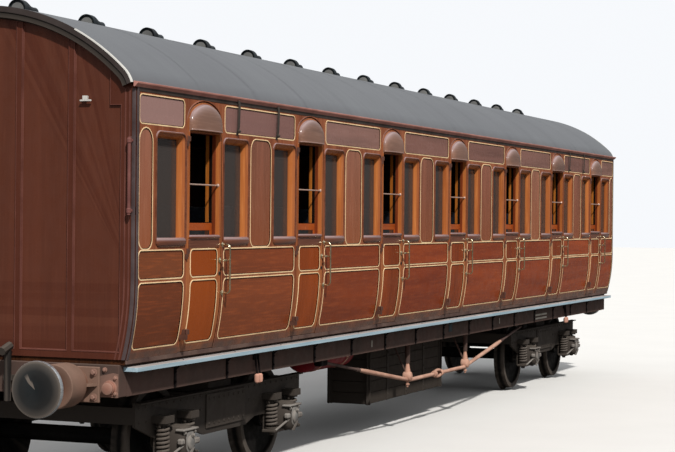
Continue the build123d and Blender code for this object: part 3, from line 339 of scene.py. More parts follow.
def plush():
    """Moquette: short pile with a small pattern of cells in two blues."""
    finish = Finish("plush")
    cells = finish.node("ShaderNodeTexVoronoi")
    cells.inputs["Scale"].default_value = 26
    finish.link(finish.place, cells.inputs["Vector"])
    pile = finish.noise(420, detail=2)
    lattice = finish.span(cells.outputs["Distance"], 0.25, 0.45)
    tone = finish.mix(lattice, srgb(44, 52, 74), srgb(26, 30, 46))
    tone = finish.mix(finish.span(pile, 0.35, 0.75, 0, 0.35), tone, srgb(84, 88, 100))
    finish.colour(tone)
    finish.fixed(Roughness=0.95, Sheen_Weight=0.35, Sheen_Roughness=0.5)
    finish.bump(pile, 0.5, 0.002)
    return finish.material


def window_glass():
    """Old window glass that lets some of the sun through, a little wavy."""
    finish = Finish("window_glass")
    finish.fixed(Base_Color=(0.085, 0.07, 0.063, 1.0), Roughness=0.04, Specular_IOR_Level=0.45, Alpha=0.5)
    finish.bump(finish.noise(3, detail=2), 0.03, 0.01)
    return finish.material


# Where sky is given below, faces that look up take a painted sky reflection.
TEAK = varnished(
    "teak_framing", (118, 63, 41), (154, 90, 59), (185, 122, 86), "z", grime=0.95,
    sky=(147, 122, 118),
)
# The eaves panels' purple-grey tone is teak under a painted sky reflection, lighter on the first bays.
EAVES_FIELD = varnished(
    "eaves_field", (122, 90, 81), (144, 106, 96), (159, 124, 118), "x", near=(155, 122, 118),
)
# sun is a painted sunlit tone at the blank panels' feet.
BLANK_FIELD = varnished(
    "blank_field", (134, 90, 73), (161, 107, 87), (182, 129, 104), "z", sun=(149, 83, 45),
)
FIELD_LONG = varnished(
    "teak_field", (130, 56, 28), (158, 71, 32), (178, 93, 50), "x", near=(112, 66, 43),
)
DOOR_TEAK = varnished(
    "door_framing", (139, 77, 44), (169, 101, 59), (198, 132, 88), "z", grime=0.9,
    sky=(154, 128, 121),
)
DOOR_FIELD = varnished(
    "door_field", (125, 55, 22), (150, 68, 26), (172, 88, 40), "z", near=(164, 81, 26),
)
MAHOGANY = varnished(
    "frame_mahogany", (96, 54, 38), (122, 72, 50), (146, 94, 70), "x", 0.14, 0.5,
    sky=(150, 128, 128),
)
HOOD_WOOD = varnished(
    "hood_mahogany", (116, 87, 75), (144, 108, 92), (160, 127, 111), "x", 0.12, 0.6,
    sky=(156, 135, 135),
)
REVEAL = varnished("reveal_teak", (150, 84, 42), (186, 112, 60), (206, 136, 82), "z")
JAMB_RED = varnished("jamb_red", (104, 48, 26), (128, 62, 34), (146, 80, 48), "z")
# Near-black painted shade for recesses: the front of a door light's casing, its head and the hood's
# underside.
JAMB_SHADE = painted("jamb_painted_shade", (22, 14, 11), (12, 9, 8), 0.6, 0.05)
CASING = varnished("casing_teak", (156, 92, 34), (190, 120, 50), (208, 142, 74), "z")
SASH_WOOD = varnished("sash_teak", (146, 66, 26), (172, 84, 36), (190, 104, 54), "x", 0.2, 0.2)
INSIDE = varnished("inside_wood", (48, 26, 14), (70, 40, 22), (92, 58, 34), "z", 0.5)
END_BROWN = varnished("end_brown", (86, 48, 36), (93, 52, 39), (99, 57, 43), "z", 0.3, 0.15)
LINING = painted("cream_lining", (246, 215, 169), (222, 186, 142), 0.4, 0.05)
# The dark quirk is partly painted shade: the step down into each panel and the edges of the door openings.
# On the foot strips it marks real joints.
QUIRK_AND_SHADE = painted("dark_quirk_and_shade", (40, 22, 15), (26, 15, 11), 0.5, 0.05)
CORNICE = painted("cornice", (177, 125, 114), (155, 106, 95), 0.45, 0.08)
# Painted shadow of the gutter on the top of the side.
GUTTER_SHADOW = painted("gutter_shadow", (70, 62, 58), (54, 46, 42), 0.5, 0.1)
CANVAS = roof_cloth()
RIM_BROWN = painted("rim_brown", (66, 59, 57), (54, 47, 45), 0.6, 0.06)
RIM_WHITE = painted("rim_white", (214, 212, 206), (186, 184, 178), 0.4)
BOARD = weathered_board()
SOLE_BROWN = painted("sole_brown", (64, 40, 36), (48, 31, 28), 0.6, 0.06, 0.1, 0.1)
OXIDE = painted("oxide_iron", (125, 91, 76), (100, 71, 58), 0.6, 0.1, 0.1, 0.15)
ROD_PINK = painted("rod_pink", (204, 158, 136), (168, 122, 102), 0.6, 0.1, 0.1, 0.15)
DEEP_OXIDE = painted("deep_oxide", (84, 46, 38), (62, 34, 29), 0.5, 0.1, 0.1, 0.1)
HEAD_PINK = painted("headstock_pink", (117, 74, 61), (82, 50, 41), 0.6, 0.1, 0.05, 0.2)
NUT_PINK = painted("nut_pink", (156, 110, 94), (116, 78, 66), 0.5, 0.15, 0.0, 0.2)
CRIMSON = painted("tank_crimson", (150, 36, 44), (104, 24, 31), 0.4, 0.15, 0.1)
END_BEAD = painted("end_bead", (104, 64, 55), (86, 51, 43), 0.4, 0.1)
BUFFER_IRON = painted("buffer_iron", (30, 36, 39), (18, 22, 25), 0.4, 0.12, 0.05, 0.3)
BLACK_IRON = painted("black_iron", (14, 15, 17), (7, 8, 10), 0.6, 0.08, 0.1, 0.12, 0.2)
BOX_BLACK = painted("box_black", (10, 11, 12), (5, 6, 6), 0.6, 0.03, 0.05, 0.1)
STRAP_BLACK = painted("strap_black", (24, 18, 18), (16, 12, 12), 0.6, 0.06)
PALE_IRON = painted("pale_iron", (118, 117, 114), (58, 58, 58), 0.7, 0.1, 0.1, 0.2, 0.5)
SPRING_IRON = painted("spring_iron", (34, 36, 38), (16, 17, 18), 0.6, 0.08, 0.1, 0.2)
WHEEL_IRON = painted("wheel_iron", (26, 24, 23), (15, 14, 13), 0.6, 0.1, 0.05, 0.2, 0.2)
BRASS = polished("brass", (0.78, 0.68, 0.46, 1.0), (0.6, 0.5, 0.32, 1.0), 0.2)
COPPER = polished("copper_bar", (0.75, 0.55, 0.45, 1.0), (0.6, 0.42, 0.34, 1.0), 0.3, 0.6)
RAIL_RED = painted("rail_red", (118, 76, 70), (92, 56, 52), 0.4, 0.2)
HINGE_GREY = painted("hinge_grey", (98, 66, 54), (76, 50, 42), 0.4, 0.15)
POST_GREY = painted("post_grey", (84, 72, 72), (62, 50, 50), 0.35, 0.2)
PLUSH = plush()
GLASS = window_glass()
SASH_GLASS = painted("sash_glass", (40, 40, 38), (24, 26, 26), 0.06, 0.5, bump=0.0)
VENT_BLUE = painted("vent_blue", (36, 43, 47), (18, 21, 24), 0.5, 0.25)
VENT_PLATE = painted("vent_plate", (112, 112, 110), (84, 84, 83), 0.6, 0.1)
FOOT_BROWN = painted("foot_brown", (101, 82, 74), (77, 60, 56), 0.6, 0.06)
ROD_DARK = painted("rod_dark", (96, 78, 72), (70, 54, 50), 0.6, 0.1)
SHOE_PINK = painted("shoe_pink", (206, 150, 128), (170, 116, 98), 0.6, 0.1, 0.0, 0.2)
BOX_EDGE = painted("box_edge", (24, 24, 24), (14, 14, 14), 0.6, 0.06, 0.1, 0.1)
PLATE_BLUE = painted("plate_blue", (62, 74, 76), (46, 56, 60), 0.6, 0.1)
RIM_STEEL = polished("rim_steel", (0.62, 0.64, 0.66, 1.0), (0.4, 0.42, 0.44, 1.0), 0.35, 0.8)
TYRE_EDGE = painted("tyre_edge", (58, 54, 50), (34, 31, 29), 0.6, 0.15, 0.0, 0.3)
PLATE_PALE = painted("plate_pale", (190, 184, 172), (150, 144, 132), 0.5)

SLOT_FINISH = {
    "teak_side": FIELD_LONG, "teak_door": DOOR_TEAK, "cornice": CORNICE, "roof_cloth": CANVAS,
    "end_panel": END_BROWN, "inside_wood": INSIDE, "upholstery": PLUSH, "floor_wood": INSIDE,
    "glass": GLASS, "frame_brown": SOLE_BROWN, "oxide_steel": OXIDE, "buffer_steel": BUFFER_IRON,
    "board_wood": BOARD, "black_iron": BLACK_IRON, "box_black": BOX_BLACK, "brass": BRASS,
    "rail_red": RAIL_RED, "axlebox_grey": PALE_IRON, "wheel_steel": WHEEL_IRON,
}
NODE_FINISH = {
    "headstocks": HEAD_PINK, "hinge_leaves": HINGE_GREY, "reservoir": CRIMSON, "side_near": TEAK,
    "side_far": TEAK, "cantrails": TEAK,
}


def dress_nodes():
    """Gives every carried-over CAD node its own finish, or that of its slot."""
    for subpart in frame["record"]["subparts"]:
        node = frame["nodes"][subpart["node"]]
        finish = NODE_FINISH.get(subpart["node"], SLOT_FINISH[subpart["material_slot"]])
        for place in node.material_slots:
            place.material = finish


# Meshes
class Shape:
    """Points and faces that become one mesh, each face with the number of its finish."""

    def __init__(self):
        self.points = []
        self.faces = []
        self.marks = []

    def add(self, points, faces, mark=0):
        start = len(self.points)
        self.points += [tuple(point) for point in points]
        self.faces += [tuple(start + index for index in face) for face in faces]
        self.marks += [mark] * len(faces)
        return self

    def grid(self, rows, mark=0, wrap_rows=False, wrap_points=False):
        """A sheet of quads through rows of points."""
        wide = len(rows[0])
        faces = []
        for i in range(len(rows) - (0 if wrap_rows else 1)):
            for j in range(wide - (0 if wrap_points else 1)):
                a, b = i * wide + j, i * wide + (j + 1) % wide
                below = (i + 1) % len(rows) * wide
                faces.append((a, b, below + (j + 1) % wide, below + j))
        return self.add([point for row in rows for point in row], faces, mark)

    def capped(self, rows, mark=0, front=None):
        """A closed body through rings of points; its last end may have a mark of its own."""
        start, wide = len(self.points), len(rows[0])
        self.grid(rows, mark, wrap_points=True)
        last = start + (len(rows) - 1) * wide
        self.faces += [tuple(range(start, start + wide)), tuple(range(last, last + wide))]
        self.marks += [mark, mark if front is None else front]
        return self

    def between(self, back, front, mark=0):
        """A solid between two like outlines."""
        count = len(back)
        faces = [tuple(range(count)), tuple(range(count, 2 * count))]
        faces += [(k, (k + 1) % count, count + (k + 1) % count, count + k) for k in range(count)]
        return self.add(back + front, faces, mark)

    def join(self, other):
        start = len(self.points)
        self.points += other.points
        self.faces += [tuple(start + index for index in face) for face in other.faces]
        self.marks += other.marks
        return self

    def moved(self, x=0.0, y=0.0, z=0.0):
        """A copy shifted by the given distances."""
        copy = Shape()
        copy.points = [(a + x, b + y, c + z) for a, b, c in self.points]
        copy.faces = list(self.faces)
        copy.marks = list(self.marks)
        return copy

    def turned(self):
        """A copy turned half round the upright axis."""
        copy = self.moved()
        copy.points = [(-x, -y, z) for x, y, z in copy.points]
        return copy

    def both(self):
        """The shape and its turned copy in one."""
        return self.moved().join(self.turned())

    def on_side(self, side):
        """The shape as it stands on the photographed side, or turned to the far one."""
        return self.turned() if side == "far" else self


SMOOTH_ANGLE = math.radians(35)


def make(name, shape, finishes, body):
    """Makes a piece from a shape and lets it ride on a body."""
    mesh = bpy.data.meshes.new(name)
    mesh.from_pydata(shape.points, [], shape.faces)
    work = bmesh.new()
    work.from_mesh(mesh)
    bmesh.ops.recalc_face_normals(work, faces=work.faces)
    work.to_mesh(mesh)
    work.free()
    for finish in finishes:
        mesh.materials.append(finish)
    mesh.polygons.foreach_set("material_index", shape.marks)
    mesh.polygons.foreach_set("use_smooth", [True] * len(mesh.polygons))
    mesh.set_sharp_from_angle(angle=SMOOTH_ANGLE)
    piece = bpy.data.objects.new(name, mesh)
    bpy.context.scene.collection.objects.link(piece)
    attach(piece, body)
    return piece


# Outlines and surfaces: an outline is drawn in (along, height), and a surface places it
ALONG, OUT, UP, DOWN = (1, 0, 0), (0, -1, 0), (0, 0, 1), (0, 0, -1)
CORNER_STEPS = 6
RISER_STEP, LEVEL_STEP = 0.06, 0.05
TURN_HEIGHTS = [SIDE_BOTTOM + (TURN_TOP - SIDE_BOTTOM) * k / 8 for k in range(9)]


def side_at(height):
    """Half the body's width at a height, with its turn-under."""
    drop = max(0.0, TURN_TOP - height)
    return HALF_WIDTH - TURN_RADIUS + math.sqrt(TURN_RADIUS ** 2 - drop ** 2)


def near_side(along, height, out):
    """A point on the photographed side, standing out from it."""
    return (along, -side_at(height) - out, height)


def near_end(along, height, out):
    """A point on the photographed end, where along runs with Y."""
    return (-BODY_HALF - out, -along, height)


def arch_half(half, top, rise, corner, steps=8):
    """The right half of a three-centred arch, from its springing to its crown."""
    crown = ((half - corner) ** 2 + rise ** 2 - corner ** 2) / (2 * (rise - corner))
    turn = math.atan2(crown - rise, half - corner)
    points = []
    for k in range(steps + 1):
        angle = turn * k / steps
        points.append((half - corner + corner * math.cos(angle), top - rise + corner * math.sin(angle)))
    for k in range(1, steps + 1):
        angle = turn + (math.pi / 2 - turn) * k / steps
        points.append((crown * math.cos(angle), top - crown + crown * math.sin(angle)))
    return points


def mirrored(points):
    """The same points on the other side of the middle, in the opposite order."""
    return [(-x, z) for x, z in reversed(points)]


def risers(x, low, high):
    """Points up an upright line, without its two ends."""
    count = max(1, round((high - low) / RISER_STEP))
    return [(x, low + (high - low) * k / count) for k in range(1, count)]


def arched(half, bottom, arch):
    """A closed outline with upright sides under an arch, counter-clockwise from the lower left."""
    right = arch_half(*arch)
    spring = right[0][1]
    up_right = [(half, bottom)] + risers(half, bottom, spring)
    left = mirrored(right[:-1])
    down_left = [(-x, z) for x, z in reversed(up_right)]
    return up_right + right + left + down_left


def rounded(x0, x1, z0, z1, low, high=None):
    """A closed rounded outline, counter-clockwise, with one radius below and one above."""
    high = low if high is None else high
    corners = [(x1 - low, z0 + low, low, -90), (x1 - high, z1 - high, high, 0)]
    corners += [(x0 + high, z1 - high, high, 90), (x0 + low, z0 + low, low, 180)]
    points = []
    for number, (x, z, radius, start) in enumerate(corners):
        for k in range(CORNER_STEPS + 1):
            angle = math.radians(start + 90 * k / CORNER_STEPS)
            points.append((x + radius * math.cos(angle), z + radius * math.sin(angle)))
        if number == 0:
            points += risers(x1, z0 + low, z1 - high)
        if number == 2:
            points += list(reversed(risers(x0, z0 + low, z1 - high)))
    return points


def ring(shape, path, profile, surface, mark=0, closed=True):
    """Sweeps a profile of (inward, out) points round a path on a surface."""
    count = len(path)
    rows = []
    for i, (x, z) in enumerate(path):
        if closed:
            before, after = path[i - 1], path[(i + 1) % count]
        else:
            before, after = path[max(i - 1, 0)], path[min(i + 1, count - 1)]
        first = Vector((x - before[0], z - before[1]))
        second = Vector((after[0] - x, after[1] - z))
        first = first.normalized() if first.length > 1e-9 else second.normalized()
        second = second.normalized() if second.length > 1e-9 else first
        along = (first + second).normalized()
        inward = Vector((-along.y, along.x)) / max(0.6, along.dot(first))
        rows.append([surface(x + inward.x * s, z + inward.y * s, o) for s, o in profile])
    return shape.grid(rows, mark, wrap_rows=closed)


def sheet(shape, outline, holes, surface, out, mark=0, levels=()):
    """Fills an outline with holes and lays it on a surface, cut across at the given heights."""
    work = bmesh.new()
    for loop in [outline] + holes:
        points = [work.verts.new((x, z, 0)) for x, z in loop]
        for first, second in zip(points, points[1:] + points[:1]):
            work.edges.new((first, second))
    bmesh.ops.triangle_fill(work, use_beauty=True, use_dissolve=False, edges=work.edges[:])
    for level in levels:
        bmesh.ops.bisect_plane(
            work, geom=work.verts[:] + work.edges[:] + work.faces[:], plane_co=(0, level, 0),
            plane_no=(0, 1, 0),
        )
    work.verts.index_update()
    points = [surface(vert.co.x, vert.co.y, out) for vert in work.verts]
    faces = [[vert.index for vert in face.verts] for face in work.faces]
    work.free()
    return shape.add(points, faces, mark)


def turn_levels(low, high):
    """Heights at which a sheet is cut so that it can follow the turn-under."""
    levels = []
    level = TURN_TOP
    while level > low:
        if level < high:
            levels.append(level)
        level -= LEVEL_STEP
    return levels


def tube(shape, path, radius, sides=10, mark=0):
    """A round bar along a path of points; radius may be one number or one for each point."""
    points = [Vector(point) for point in path]
    radii = radius if isinstance(radius, (list, tuple)) else [radius] * len(points)
    rows = []
    across = None
    for i, point in enumerate(points):
        before, after = points[max(i - 1, 0)], points[min(i + 1, len(points) - 1)]
        along = (after - before).normalized()
        if across is None:
            across = along.orthogonal().normalized()
        across = (across - along * across.dot(along)).normalized()
        other = along.cross(across)
        row = []
        for k in range(sides):
            angle = 2 * math.pi * k / sides
            row.append(point + (across * math.cos(angle) + other * math.sin(angle)) * radii[i])
        rows.append(row)
    return shape.capped(rows, mark)


def lathe(shape, centre, axis, profile, sides=24, mark=0):
    """Turns a profile of (along, radius) points round an axis through a centre."""
    centre, axis = Vector(centre), Vector(axis).normalized()
    across = axis.orthogonal().normalized()
    other = axis.cross(across)
    rows = []
    for along, radius in profile:
        row = []
        for k in range(sides):
            angle = 2 * math.pi * k / sides
            ray = across * math.cos(angle) + other * math.sin(angle)
            row.append(centre + axis * along + ray * max(radius, 1e-4))
        rows.append(row)
    return shape.grid(rows, mark, wrap_points=True)


def brick(shape, x0, x1, y0, y1, z0, z1, edge=0.003, mark=0):
    """A box with its edges taken off."""
    cut = min(edge, abs(x1 - x0) / 3, abs(y1 - y0) / 3, abs(z1 - z0) / 3)
    work = bmesh.new()
    size = Matrix.Diagonal((abs(x1 - x0), abs(y1 - y0), abs(z1 - z0), 1))
    place = Matrix.Translation(((x0 + x1) / 2, (y0 + y1) / 2, (z0 + z1) / 2))
    bmesh.ops.create_cube(work, size=1, matrix=place @ size)
    bmesh.ops.bevel(work, geom=work.edges[:], offset=cut, segments=1, affect="EDGES")
    work.verts.index_update()
    points = [vert.co[:] for vert in work.verts]
    faces = [[vert.index for vert in face.verts] for face in work.faces]
    work.free()
    return shape.add(points, faces, mark)


def bolt(shape, centre, axis, radius, tall, mark=0):
    """A six-sided nut on its round washer."""
    washer = [(0, radius * 1.5), (tall * 0.2, radius * 1.5), (tall * 0.25, radius)]
    lathe(shape, centre, axis, washer, 12, mark)
    nut = [(0, radius), (tall * 0.8, radius), (tall, radius * 0.7), (tall, 0)]
    return lathe(shape, centre, axis, nut, 6, mark)


def extent(outline):
    """The lowest and highest place along an outline, and its lowest and highest height."""
    along, heights = [x for x, z in outline], [z for x, z in outline]
    return min(along), max(along), min(heights), max(heights)


def reed(shape, edge, surface, sign, place, wide, swell, base, rise, mark=0):
    """A rounded upright bead beside an edge of (along, height) points."""
    rows = []
    for share, out in swell:
        shift = wide * (share - 0.5) - place
        rows.append([surface(sign * (x + shift), z, base + out * rise) for x, z in edge])
    shape.grid(rows, mark)


# Body sides: raised framing, lined edges and set-in fields
LINING_PROFILE = [
    (-0.0105, RELIEF - 0.001), (-0.0095, RELIEF + 0.0016), (-0.001, RELIEF + 0.0022), (0, RELIEF),
]
QUIRK_PROFILE = [(0, RELIEF), (0.0025, 0.0035), (0.0055, FIELD + 0.0004)]


def lined_panel(lining, fields, outline, mark=0, field_mark=0):
    """Lines one panel's edge, with its dark quirk, which is partly painted shade, and lays its field."""
    ring(lining, outline, LINING_PROFILE, near_side, mark)
    ring(lining, outline, QUIRK_PROFILE, near_side, mark + 1)
    sheet(fields, outline, [], near_side, FIELD, field_mark, turn_levels(*extent(outline)[2:]))


def bay_limits(bay, gap, margin):
    """Where a bay's parts start and stop: a gap from each door, or a margin from the body's end."""
    left, right = bay
    start = left + gap if left is not None else -BODY_HALF + margin
    stop = right - gap if right is not None else BODY_HALF - margin
    return start, stop


def bay_panels(bay):
    """Outlines of the lined panels in a bay, and of its windows' frames."""
    left, right = bay
    start, stop = bay_limits(bay, PANEL_FROM_DOOR, END_MARGIN)
    eaves = bay_limits(bay, EAVES_FROM_DOOR, END_MARGIN)
    panels = [rounded(*eaves, *EAVES_PANEL, 0.04), rounded(start, stop, *WAIST_PANEL, WAIST_CORNER)]
    panels.append(rounded(start, stop, *LOWER_PANEL, LOWER_CORNER))
    windows = []
    if left is not None:
        windows.append((left + FRAME_NEAR, left + FRAME_FAR))
    if right is not None:
        windows.append((right - FRAME_FAR, right - FRAME_NEAR))
    if left is None:
        panels.append(rounded(start, start + END_BLANK, *BLANK_PANEL, BLANK_CORNER, END_BLANK / 2 - 0.001))
    elif right is None:
        panels.append(rounded(stop - END_BLANK, stop, *BLANK_PANEL, BLANK_CORNER, END_BLANK / 2 - 0.001))
    else:
        middle = (left + right) / 2
        panels.append(rounded(middle - BLANK_HALF, middle + BLANK_HALF, *BLANK_PANEL, BLANK_CORNER, 0.1))
    return panels, [rounded(x0, x1, *WINDOW_FRAME, 0.07) for x0, x1 in windows]


def bay_outline(bay):
    """The framing of one bay, from the middle of one door to the middle of the next."""
    left, right = bay
    reach = OPENING_ARCH[0]
    arch = arch_half(*OPENING_ARCH)
    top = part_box("gutters")[0].z + 0.002
    points = []
    if right is None:
        points += [(BODY_HALF, SIDE_BOTTOM)] + risers(BODY_HALF, SIDE_BOTTOM, TURN_TOP) + [(BODY_HALF, top)]
    else:
        side = [(right - reach, SIDE_BOTTOM)] + risers(right - reach, SIDE_BOTTOM, arch[0][1])
        points += side + [(right - x, z) for x, z in arch] + [(right, top)]
    if left is None:
        points += [(-BODY_HALF, top)] + list(reversed(risers(-BODY_HALF, SIDE_BOTTOM, TURN_TOP)))
        points += [(-BODY_HALF, SIDE_BOTTOM)]
    else:
        side = [(left + reach, SIDE_BOTTOM)] + risers(left + reach, SIDE_BOTTOM, arch[0][1])
        points += [(left, top)] + [(left + x, z) for x, z in reversed(arch)] + list(reversed(side))
    return points


BAYS = list(zip([None] + DOOR_CENTRES, DOOR_CENTRES + [None]))


def window_moulding(shape, outline):
    """The frame round a fixed window: a slim bead, then a broad splay in to the glass."""
    bead = [(-0.004, RELIEF - 0.002), (-0.003, 0.012), (0.002, 0.017), (0.009, 0.0175), (0.014, 0.013)]
    cove = [(0.0165, 0.005), (0.022, 0.003), (0.03, -0.008), (0.037, -0.012)]
    splay = [cove[-1], (0.048, -0.028), (0.054, -0.046), (WINDOW_INSET, -0.053)]
    jamb = [splay[-1], (WINDOW_INSET, -WALL)]
    for profile, mark in ((bead + cove[:1], 0), (cove, 2), (splay, 1), (jamb, 3)):
        ring(shape, outline, profile, near_side, mark)


def inner_wall(shape, bay):
    """The inside face of a bay, its windows open, and the wall's edges at the doorways."""
    x0, x1 = bay_limits(bay, OPENING_ARCH[0], WALL)
    low, high = SIDE_BOTTOM, CANTRAIL_BOTTOM
    outline = [(x0, low), (x1, low)] + risers(x1, low, high) + [(x1, high), (x0, high)]
    outline += list(reversed(risers(x0, low, high)))
    holes = [rounded_inset(window, WINDOW_INSET, 0.016) for window in bay_panels(bay)[1]]
    sheet(shape, outline, holes, near_side, -WALL, 2, turn_levels(low, TURN_TOP))
    for x in (x0, x1):
        levels = [low] + [z for _, z in risers(x, low, high)] + [high]
        shape.grid([[near_side(x, z, out) for z in levels] for out in (-0.004, -WALL)])
    shape.grid([[near_side(x, low, out) for x in (x0, x1)] for out in (RELIEF, -WALL)])


def rounded_sill(shape, x0, x1, low, high, proud, mark=0):
    """A thick rounded sill with tapered ends, standing out from the side."""
    tall = high - low
    section = [(0.0, 0.0), (0.1, 0.75), (0.3, 0.97), (0.5, 1.0), (0.7, 0.94), (0.88, 0.7), (1.0, 0.25)]
    section.append((1.0, 0.0))
    ends = [(0.0, 0.35), (0.006, 0.65), (0.016, 0.87), (0.03, 1.0)]
    stations = [(x0 + s, f) for s, f in ends] + [(x1 - s, f) for s, f in reversed(ends)]
    rows = []
    for x, swell in stations:
        row = []
        for share, out in section:
            row.append(near_side(x, low + tall * (0.5 + (share - 0.5) * swell), out * proud * swell))
        rows.append(row)
    return shape.grid(rows, mark)


def side_dress():
    """Both side walls: framing, lining, fields and window frames, with their inner faces."""
    framing, lining, frames = Shape(), Shape(), Shape()
    eaves, blanks, fields = Shape(), Shape(), Shape()
    for bay in BAYS:
        panels, windows = bay_panels(bay)
        holes = panels + [rounded_inset(window, 0.004, 0.066) for window in windows]
        sheet(framing, bay_outline(bay), holes, near_side, RELIEF, 0, turn_levels(SIDE_BOTTOM, TURN_TOP))
        inner_wall(framing, bay)
        for outline, kind in zip(panels, (eaves, fields, fields, blanks)):
            lined_panel(lining, kind, outline)
        for outline in windows:
            window_moulding(frames, outline)
            x0, x1 = extent(outline)[:2]
            low = WINDOW_FRAME[0] + 0.004
            rounded_sill(frames, x0 + 0.006, x1 - 0.006, low, low + SILL_TALL, 0.03, 0)
    opening = arched(OPENING_ARCH[0], SIDE_BOTTOM, OPENING_ARCH)
    rim = [(-0.012, RELIEF - 0.001), (-0.0105, RELIEF + 0.003), (-0.003, RELIEF + 0.0035), (0, RELIEF)]
    for centre in DOOR_CENTRES:
        path = [(centre + x, z) for x, z in opening]
        # The openings' edge faces are dark as painted shade in the doors' gap.
        ring(framing, path, [(0, RELIEF), (0, -0.004)], near_side, 1, closed=False)
        ring(framing, path, rim, near_side, 0, closed=False)
    kinds = (
        ("framing", framing, [TEAK, QUIRK_AND_SHADE, INSIDE]), ("lining", lining, [LINING, QUIRK_AND_SHADE]),
        ("eaves_fields", eaves, [EAVES_FIELD]), ("blank_fields", blanks, [BLANK_FIELD]),
        ("fields", fields, [FIELD_LONG]), ("window_frames", frames, [MAHOGANY, REVEAL, DOOR_TEAK, JAMB_RED]),
    )
    for side in ("near", "far"):
        for name, shape, finishes in kinds:
            piece = make(f"side_{side}_{name}", shape.on_side(side), finishes, "coach")
            if name == "framing":
                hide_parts(f"side_{side}")


def rounded_inset(outline, inset, radius):
    """An outline drawn in a little on all sides."""
    x0, x1, z0, z1 = extent(outline)
    return rounded(x0 + inset, x1 - inset, z0 + inset, z1 - inset, radius)


# Doors, each dressed in its own frame and then moved to its place
SASH_DEPTH = 0.06
CASING_FRONT, CASING_BACK = -HALF_WIDTH + 0.0625, -HALF_WIDTH + 0.122
HOOD_HALF = 0.286
HOOD_TALL = 0.214
HOOD_OUT = 0.058
HOOD_ARCH = (HOOD_HALF, HOOD_BOTTOM + HOOD_TALL, 0.176, 0.134)
HOOD_POWER = 3.7


def door_panels():
    """Outlines of a door's two lined panels."""
    half = DOOR_PANEL_HALF
    waist = rounded(-half, half, *WAIST_PANEL, WAIST_CORNER)
    return [waist, rounded(-half, half, *LOWER_PANEL, LOWER_CORNER)]


def light_lining(shape, path):
    """The linings inside a door's window: bead, jamb, groove and the casing on the inside."""
    bead = [(-0.012, RELIEF - 0.002), (-0.011, RELIEF + 0.003), (-0.003, RELIEF + 0.004), (0.001, RELIEF)]
    jamb = [(0.001, RELIEF), (0.002, 0.0), (0.002, -0.028)]
    groove = [(0.002, -0.028), (0.006, -0.03), (0.006, -0.056)]
    for profile, mark in ((bead, 0), (jamb, 5), (groove, 6)):
        ring(shape, path, profile, near_side, mark)
    # The casing's front strips and its head piece take the near-black finish as painted shade in the
    # opening.
    outer = DOOR_HALF - 0.016
    for sign in (-1, 1):
        x0, x1 = sorted((sign * (LIGHT_HALF - 0.004), sign * outer))
        for y0, y1, mark in ((CASING_FRONT, -HALF_WIDTH + 0.09, 7), (-HALF_WIDTH + 0.09, CASING_BACK, 8)):
            brick(shape, x0, x1, y0, y1, LIGHT_BOTTOM + 0.125, LIGHT_TOP + 0.02, 0.002, mark)
    brick(shape, -outer, outer, CASING_FRONT, CASING_BACK, LIGHT_TOP - 0.004, LIGHT_TOP + 0.03, 0.002, 7)


def door_dress():
    """A door's framing, lining and fields, in one shape."""
    shape = Shape()
    face = RELIEF - 0.0015
    outline = arched(DOOR_HALF, DOOR_BOTTOM, DOOR_ARCH)
    light = rounded(-LIGHT_HALF, LIGHT_HALF, LIGHT_BOTTOM, LIGHT_TOP, 0.006)
    panels = door_panels()
    sheet(shape, outline, panels + [light], near_side, face, 0, turn_levels(DOOR_BOTTOM, TURN_TOP))
    ring(shape, outline, [(0, -0.006), (0, RELIEF - 0.003), (0.0015, face)], near_side, 0)
    for panel in panels:
        lined_panel(shape, shape, panel, 1, 3)
    light_lining(shape, light)
    reach = LIGHT_HALF + 0.008
    rounded_sill(shape, -reach, reach, LIGHT_BOTTOM - 0.012, LIGHT_BOTTOM + 0.024, 0.026, 4)
    y0, y1 = -HALF_WIDTH - RELIEF - 0.004, -HALF_WIDTH - 0.002
    brick(shape, -reach, reach, y0, y1, LIGHT_BOTTOM - 0.083, LIGHT_BOTTOM - 0.014, 0.002, 4)
    return shape


def hood_shell():
    """The bulging ventilator hood, with a rolled lip below."""
    shape = Shape()
    half_arch = arch_half(*HOOD_ARCH, steps=7)
    rim = [(HOOD_HALF, HOOD_BOTTOM)] + half_arch + mirrored(half_arch[:-1]) + [(-HOOD_HALF, HOOD_BOTTOM)]
    shares = [math.sin(math.pi / 2 * k / 16) for k in range(17)]
    bulge = [HOOD_OUT * (1 - share ** HOOD_POWER) ** (1 / HOOD_POWER) for share in shares]
    rows = []
    for share, out in zip(shares, bulge):
        rows.append([near_side(x * share, HOOD_BOTTOM + (z - HOOD_BOTTOM) * share, out) for x, z in rim])
    shape.grid(rows, 0)
    foot = [(-HOOD_HALF * share, out) for share, out in reversed(list(zip(shares, bulge)))]
    foot += [(HOOD_HALF * share, out) for share, out in zip(shares[1:], bulge[1:])]
    lip = []
    for drop, pull in ((0.0, 0.0), (-0.003, 0.004), (-0.009, 0.004), (-0.012, -0.001), (-0.012, -0.012)):
        lip.append([near_side(x, HOOD_BOTTOM + drop, max(out + pull, 0.001)) for x, out in foot])
    shape.grid(lip, 0)
    # The lip's underside is near-black: painted shade under the hood.
    under = [[near_side(x, HOOD_BOTTOM - 0.012, max(out - 0.012, 0.001)) for x, out in foot]]
    under.append([near_side(x, HOOD_BOTTOM - 0.004, 0.001) for x, out in foot])
    shape.grid(under, 1)
    return shape


